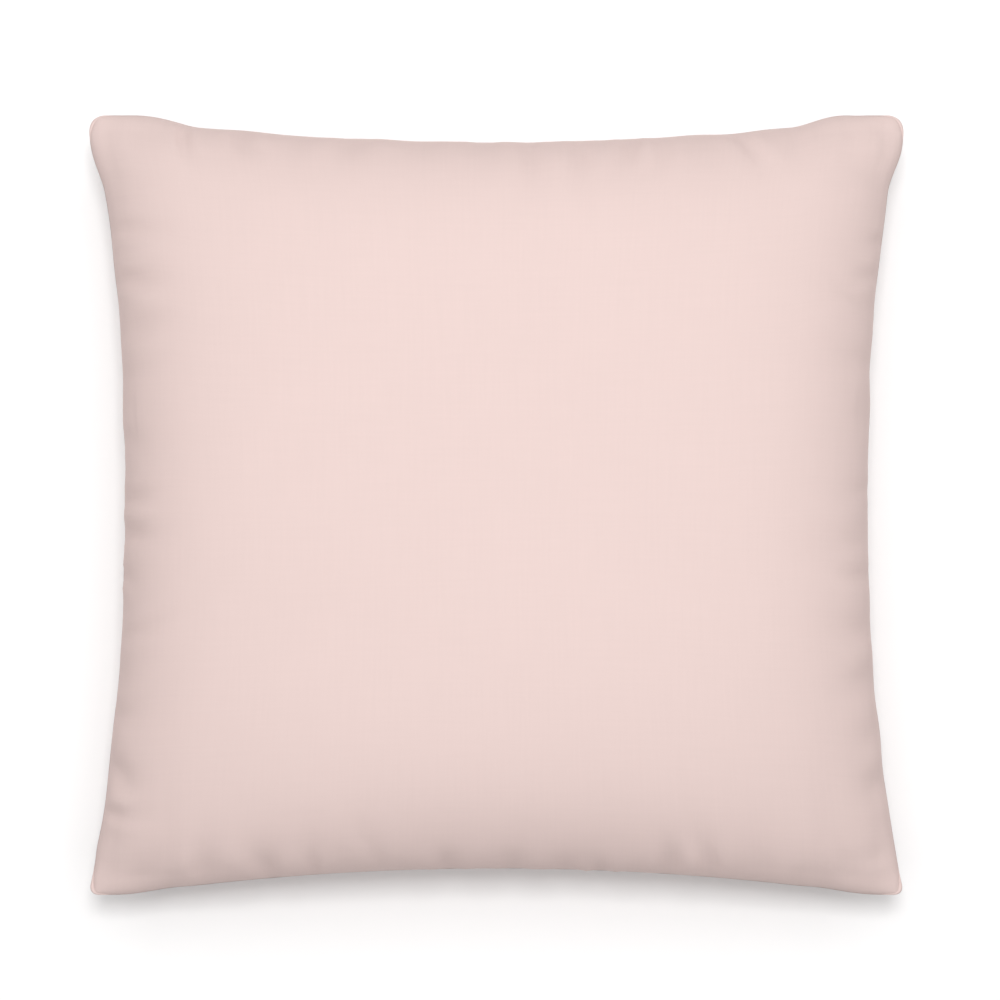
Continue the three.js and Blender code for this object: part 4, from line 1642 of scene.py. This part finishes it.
@dataclass
class ZipCloth:
    """The zip's two woven tapes with their nylon coils and the rows that sew them in."""

    plan: SeamPlan
    finishes: Wardrobe
    face: float = 7.2 * MM
    thick: float = 0.6 * MM
    inner_edge: float = 1.2 * MM
    outer_edge: float = 13.0 * MM
    half_length: float = 161.03 * MM
    coil_half: float = 152.03 * MM
    coil_pitch: float = 1.25 * MM
    wire: float = 0.29 * MM
    coil_front: float = 5.3 * MM
    coil_back: float = 6.9 * MM
    coil_tip: float = 0.47 * MM
    coil_edge: float = 2.4 * MM
    stitch_level: float = 6.4 * MM
    stitch: float = 3.0 * MM

    def tape(self, side: Side) -> bpy.types.Object:
        """Weave one tape: fine ribs and rounded selvedges.

        Args:
            side: Which half.

        Returns:
            The piece.
        """
        run = np.linspace(-self.half_length, self.half_length, 324)
        across = np.linspace(self.inner_edge, self.outer_edge, 30)
        share = (across - self.inner_edge) / (self.outer_edge - self.inner_edge)
        edge = 0.45 + 0.55 * np.sqrt(np.clip(1 - np.abs(2 * share - 1) ** 12, 0, 1))
        ribs = 0.03 * MM * np.sin(across / (0.9 * MM) * math.tau)
        half = self.thick / 2 * edge
        front, back = self.face + self.thick / 2 - half + ribs, self.face + self.thick / 2 + half
        section = np.concatenate([np.stack([front, across], -1), np.stack([back, across], -1)[::-1]])
        section = np.concatenate([section, section[:1]])[:: side.value]
        level = section[:, 1] * side.value
        points = self.plan.on_arc(run[:, None], section[None, :, 0], level[None, :])
        draft = MeshDraft()
        index = draft.add_points(points[:, :-1])
        index = np.concatenate([index, index[:, :1]], axis=1)
        pattern = np.stack(np.broadcast_arrays(run[:, None], section[None, :, 1]), -1)
        draft.add_faces(index, pattern)
        draft.add_cap(index[0, :-1][::-1])
        draft.add_cap(index[-1, :-1])
        return draft.to_object("woven_tape_front" if side is Side.FRONT else "woven_tape_back")

    def coil(self, side: Side) -> bpy.types.Object:
        """Wind one coil: flattened loops whose tips meet the other coil's.

        Args:
            side: Which half.

        Returns:
            The piece.
        """
        steps = 12
        turns = 2 * self.coil_half / self.coil_pitch
        turn = np.arange(int(turns * steps) + 1) / steps * math.tau
        along = -self.coil_half + turn / math.tau * self.coil_pitch
        if side is Side.BACK:
            along = along + self.coil_pitch / 2
        middle, reach = (self.coil_tip + self.coil_edge) / 2, (self.coil_edge - self.coil_tip) / 2 - self.wire
        depth = (self.coil_back - self.coil_front) / 2 - self.wire
        level = side.value * (middle + reach * np.cos(turn))
        inward = (self.coil_front + self.coil_back) / 2 + depth * np.sin(turn)
        path = self.plan.on_arc(along, inward, level)
        beside = unit(self.plan.on_arc(along + MM, inward, level) - path)
        draft = MeshDraft()
        draft.add_tube(path, self.wire, 7, beside)
        return draft.to_object("wound_coil_front" if side is Side.FRONT else "wound_coil_back")

    def lip_stitches(self, side: Side) -> bpy.types.Object:
        """Sew one lip to its tape with a row of stitches that dip into the tape.

        Args:
            side: Which half.

        Returns:
            The piece.
        """
        steps = 6
        run = np.arange(-self.half_length, self.half_length, self.stitch / steps)
        beat = np.abs(np.sin(np.arange(len(run)) / steps * math.pi)) ** 0.5
        inward = self.face + 0.2 * MM - 0.42 * MM * beat
        path = self.plan.on_arc(run, inward, side.value * self.stitch_level)
        draft = MeshDraft()
        draft.add_tube(path, 0.18 * MM, 6, np.array([0.0, 0.0, 1.0]))
        return draft.to_object("lip_stitches_front" if side is Side.FRONT else "lip_stitches_back")

    def build(self) -> None:
        """Make both halves of the zip."""
        for side, word in ((Side.FRONT, "front"), (Side.BACK, "back")):
            tape = self.tape(side)
            seat(tape, "cushion", "zip_tape", self.finishes.tape, f"zip_tape_{word}")
            seat(self.coil(side), "cushion", "zip_coil", self.finishes.coil, f"zip_coil_{word}")
            stitches = self.lip_stitches(side)
            seat(stitches, "cushion", "cover_thread", self.finishes.thread, f"zip_stitch_{word}")


# ---- Insert and label ----


@dataclass
class Insert:
    """The insert: a bonded case of two halves, sewn round and closed by hand, full of wadding."""

    plan: SeamPlan
    blown: BlownPanel
    shape: np.ndarray
    finishes: Wardrobe
    top: float
    belly: float = 76 * MM
    inset: float = 16 * MM
    slack: float = 2.6 * MM
    floor: float = 1.4 * MM
    cloth: float = 0.5 * MM
    gap: float = 0.2 * MM
    fill_inset: float = 3.0 * MM
    closing_half: float = 60 * MM
    cut_share: float = 0.93
    settle_blend: float = 3 * MM

    def skin(self, side: Side, deep: float, inset: float, thin: int) -> np.ndarray:
        """One face of the insert's family of surfaces.

        Args:
            side: Which face.
            deep: How far inside the case's outer face.
            inset: How far inside the cover's seam line its rim lies.
            thin: Take one row in this many.

        Returns:
            Points, in the frame.
        """
        grid = self.shape[::thin, ::thin].copy()
        bulge = (self.top - self.plan.level if side is Side.FRONT else self.belly) - self.slack - deep
        grid[..., :2] = self.plan.drawn_in(grid[..., :2], inset)
        height = self.plan.level + side.value * (self.gap + (bulge - self.gap) * grid[..., 2])
        low = self.floor + deep
        grid[..., 2] = height if side is Side.FRONT else low + settled(height - low, self.settle_blend)
        return grid

    def case(self, side: Side) -> bpy.types.Object:
        """Cut and sew one half of the case, a little creased at its seam.

        Args:
            side: Which half.

        Returns:
            The piece.
        """
        grid = self.skin(side, 0.0, self.inset, 2)
        flat = self.blown.pattern(2)[::2, ::2]
        gathers = Gathers(seed=40 + side.value, depth=(0.2 * MM, 0.7 * MM), lump_height=0.1 * MM)
        creases = gathers.offsets(flat)
        grid -= np.abs(creases)[..., None] * grid_normals(grid) * side.value
        draft = MeshDraft()
        index = draft.add_points(grid)
        draft.add_faces(index, flat * self.cut_share)
        rim = rim_ring(index)
        inner = self.plan.drawn_in(rim_ring(grid)[:, :2], 1.0 * MM)
        ring = draft.add_points(np.concatenate([inner, rim_ring(grid)[:, 2:]], axis=1))
        edge_flat = closed_up(rim_ring(flat)) * self.cut_share
        draft.add_faces(np.stack([closed_up(rim), closed_up(ring)]), np.stack([edge_flat, edge_flat * 1.005]))
        piece = draft.to_object("insert_front_case" if side is Side.FRONT else "insert_back_case")
        if side is Side.BACK:
            piece.data.flip_normals()
        hem_thickness(piece, self.cloth)
        return piece

    def filling(self) -> bpy.types.Object:
        """Stuff the case: one lumpy block of wadding.

        Returns:
            The piece.
        """
        inset, deep = self.inset + self.fill_inset, self.cloth + 0.9 * MM
        flat = self.blown.pattern(2)[::4, ::4]
        faces = {side: self.skin(side, deep, inset, 4) for side in Side}
        draft = MeshDraft()
        upper = None
        for side in Side:
            grid = faces[side]
            gathers = Gathers(seed=60 + side.value, depth=(0.0, 0.3 * MM), lump_height=1.6 * MM)
            lumps = gathers.offsets(flat)
            grid -= np.abs(lumps)[..., None] * grid_normals(grid) * side.value
            if upper is None:
                grid[[0, -1], :, 2] = grid[:, [0, -1], 2] = self.plan.level
                upper = draft.add_points(grid)
                draft.add_faces(upper, flat)
            else:
                lower = draft.add_points(grid[1:-1, 1:-1])
                index = upper.copy()
                index[1:-1, 1:-1] = lower
                draft.add_faces(index[:, ::-1], flat[:, ::-1])
        return draft.to_object("wadding_block")

    def thread(self, path: np.ndarray, stitch: float, slant: float) -> MeshDraft:
        """Sew round the two case edges.

        Args:
            path: Plan points of the case's seam.
            stitch: Length of a stitch.
            slant: How far each stitch swings across the edge.

        Returns:
            The thread.
        """
        steps = 6
        inner = even_steps(path, stitch / steps)
        beat = np.arange(len(inner)) / steps * math.pi
        swung = self.plan.drawn_in(inner, slant * np.cos(beat))
        level = 0.8 * MM * np.sin(beat)
        draft = MeshDraft()
        ahead = self.plan.lifted(np.gradient(inner, axis=0), -self.plan.level)
        draft.add_tube(self.plan.lifted(swung, level), 0.18 * MM, 5, unit(ahead))
        return draft

    def build(self) -> None:
        """Make the case, its seams and the filling."""
        for side, node in ((Side.FRONT, "insert_case_front"), (Side.BACK, "insert_case_back")):
            piece = self.case(side)
            seat(piece, "cushion", "case_cloth", self.finishes.case, node)
        block = self.filling()
        seat(block, "cushion", "filling", self.finishes.wadding, "insert_fill")
        t = np.linspace(-1, 1, 600)
        rim = {edge: self.plan.drawn_in(self.plan.line(edge, t), self.inset + 0.5 * MM) for edge in Edge}
        bottom = rim[Edge.ZIP]
        right, left = bottom[bottom[:, 0] > self.closing_half], bottom[bottom[:, 0] < -self.closing_half]
        around = [right, rim[Edge.RIGHT], rim[Edge.TOP][::-1], rim[Edge.LEFT][::-1], left]
        seam = self.thread(np.concatenate(around), 3.2 * MM, 0.5 * MM)
        closing = self.thread(bottom[np.abs(bottom[:, 0]) < self.closing_half - MM], 5.0 * MM, 1.1 * MM)
        for name, draft, node in (
            ("case_seam_stitches", seam, "insert_seam_thread"),
            ("case_hand_stitches", closing, "insert_closing_stitch"),
        ):
            seat(draft.to_object(name), "cushion", "case_thread", self.finishes.case_thread, node)


@dataclass
class CareLabel:
    """A blank satin care label, folded in half and caught behind the zip tape."""

    plan: SeamPlan
    finishes: Wardrobe
    width: float = 24 * MM
    height: float = 11 * MM
    along: float = 110 * MM
    inward: float = 9.8 * MM
    lift: float = 2 * MM
    ply_gap: float = 0.16 * MM
    satin: float = 0.11 * MM
    curl: float = 0.25 * MM

    def build(self) -> None:
        """Fold the label and put it in place."""
        drop = np.linspace(0, 1, 16)
        turn = np.linspace(0, math.pi, 9)[1:-1]
        front = np.stack([np.full(16, -self.ply_gap), self.height * (1 - drop) + self.ply_gap], -1)
        fold = np.stack([-self.ply_gap * np.cos(turn), self.ply_gap * (1 - np.sin(turn))], -1)
        back = np.stack([np.full(16, self.ply_gap), self.height * drop + self.ply_gap], -1)
        section = np.concatenate([front, fold, back])
        run = np.linspace(-self.width / 2, self.width / 2, 28)
        walked = walked_along(section)
        curl = self.curl * np.sin(run / self.width * math.tau)[:, None] * (section[:, 1] / self.height)[None]
        inward = self.inward + section[None, :, 0] + curl
        points = self.plan.on_arc(self.along + run[:, None], inward, self.lift + section[None, :, 1])
        draft = MeshDraft()
        index = draft.add_points(points)
        pattern = np.stack(np.broadcast_arrays(run[:, None], walked[None, :]), -1)
        draft.add_faces(index, pattern)
        piece = draft.to_object("folded_care_label")
        hem_thickness(piece, self.satin)
        seat(piece, "cushion", "label_satin", self.finishes.ribbon, "care_label")


# ---- Studio ----


@dataclass(frozen=True)
class Lamp:
    """A soft square lamp: where it hangs, the length of its sides and its power in watts."""

    name: str
    place: tuple[float, float, float]
    size: float
    power: float


@dataclass
class Studio:
    """A pale floor, soft light from above, and a camera straight overhead."""

    level: float
    overhead: Lamp = Lamp("overhead", (0.05, 0.4, 2.3), 2.4, 37.4)
    key: Lamp = Lamp("key", (0.02, 0.36, 2.45), 0.42, 24.2)
    sky_strength: float = 0.3
    lens: float = 120.0
    sensor: float = 36.0
    framed: float = 547.4 * MM
    shift_x: float = 2.0 * MM
    shift_y: float = 2.7 * MM
    floor_half: float = 6.0
    floor_colour: Colour = (0.93, 0.93, 0.93)

    def build(self) -> None:
        """Put up the studio."""
        self.floor()
        self.sky()
        self.hang(self.overhead)
        self.hang(self.key)
        self.camera()
        scene = bpy.context.scene
        scene.view_settings.view_transform = "Standard"
        scene.view_settings.look = "None"

    def floor(self) -> None:
        """Lay a plain pale floor under the cushion."""
        draft = MeshDraft()
        t = np.linspace(-self.floor_half, self.floor_half, 9)
        x, y = np.meshgrid(t, t, indexing="ij")
        index = draft.add_points(np.stack([x, y, np.full_like(x, -0.3 * MM)], -1))
        draft.add_faces(index, np.stack([x, y], -1))
        plane = draft.to_object("floor")
        made = Recipe("pale_floor", 0.9)
        patches = made.noise(made.pattern(), 0.8, 2.0)
        made.tint(patches, shaded(self.floor_colour, -0.004), shaded(self.floor_colour, 0.004))
        made.set("Specular IOR Level", 0.1)
        plane.data.materials.append(made.material)
        plane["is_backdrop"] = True

    def sky(self) -> None:
        """Fill the studio with even white light."""
        world = bpy.data.worlds.new("studio")
        world.use_nodes = True
        background = world.node_tree.nodes["Background"]
        background.inputs["Color"].default_value = (1.0, 1.0, 1.0, 1.0)
        background.inputs["Strength"].default_value = self.sky_strength
        bpy.context.scene.world = world

    def hang(self, lamp: Lamp) -> None:
        """Hang a lamp, turned towards the cushion.

        Args:
            lamp: The lamp to hang.
        """
        light = bpy.data.lights.new(lamp.name, "AREA")
        light.energy = lamp.power
        light.size = lamp.size
        hung = bpy.data.objects.new(lamp.name, light)
        hung.location = lamp.place
        aim = Vector((0, 0, self.level)) - Vector(lamp.place)
        hung.rotation_euler = aim.to_track_quat("-Z", "Y").to_euler()
        bpy.context.scene.collection.objects.link(hung)

    def camera(self) -> None:
        """Set the camera straight above, with the zip side at the bottom of its view."""
        data = bpy.data.cameras.new("overhead_camera")
        data.lens = self.lens
        data.sensor_width = self.sensor
        camera = bpy.data.objects.new("overhead_camera", data)
        height = self.framed * self.lens / self.sensor
        camera.location = (self.shift_x, self.shift_y, self.level + height)
        bpy.context.scene.collection.objects.link(camera)
        bpy.context.scene.camera = camera


def read_plan(frame: dict[str, Any], low: Vector, high: Vector) -> SeamPlan:
    """Find the seam line's sizes in the frame.

    Args:
        frame: What the frame's load gave.
        low: Lowest corner of the frame.
        high: Highest corner.

    Returns:
        The seam plan.
    """
    travel = next(joint for joint in frame["joints"] if joint["name"] == "zip_travel")
    centre = Vector(travel["pos_m"])
    tape_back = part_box("zip_tape_front")[1].y
    radius = tape_back - (ZipCloth.face + ZipCloth.thick) - centre.y
    return SeamPlan((high.x - low.x) / 2, (high.y - low.y) / 2, centre.y, radius, centre.z)


def main() -> None:
    """Build the cushion's pieces round the frame, sub-assembly by sub-assembly."""
    logging.basicConfig(level=logging.INFO, format="%(name)s: %(message)s")
    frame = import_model()
    low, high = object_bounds()
    plan = read_plan(frame, low, high)
    swing = next(joint for joint in frame["joints"] if joint["name"] == "pull_swing")
    finishes = Wardrobe()
    blown = BlownPanel(plan)
    shape = blown.blow()
    Cover(plan, blown, shape, finishes, top=high.z).build()
    ZipCloth(plan, finishes).build()
    ZipMetal(plan, finishes, Vector(swing["pos_m"])).build()
    Insert(plan, blown, shape, finishes, top=high.z).build()
    CareLabel(plan, finishes).build()
    Studio(plan.level).build()


if __name__ == "__main__":
    main()
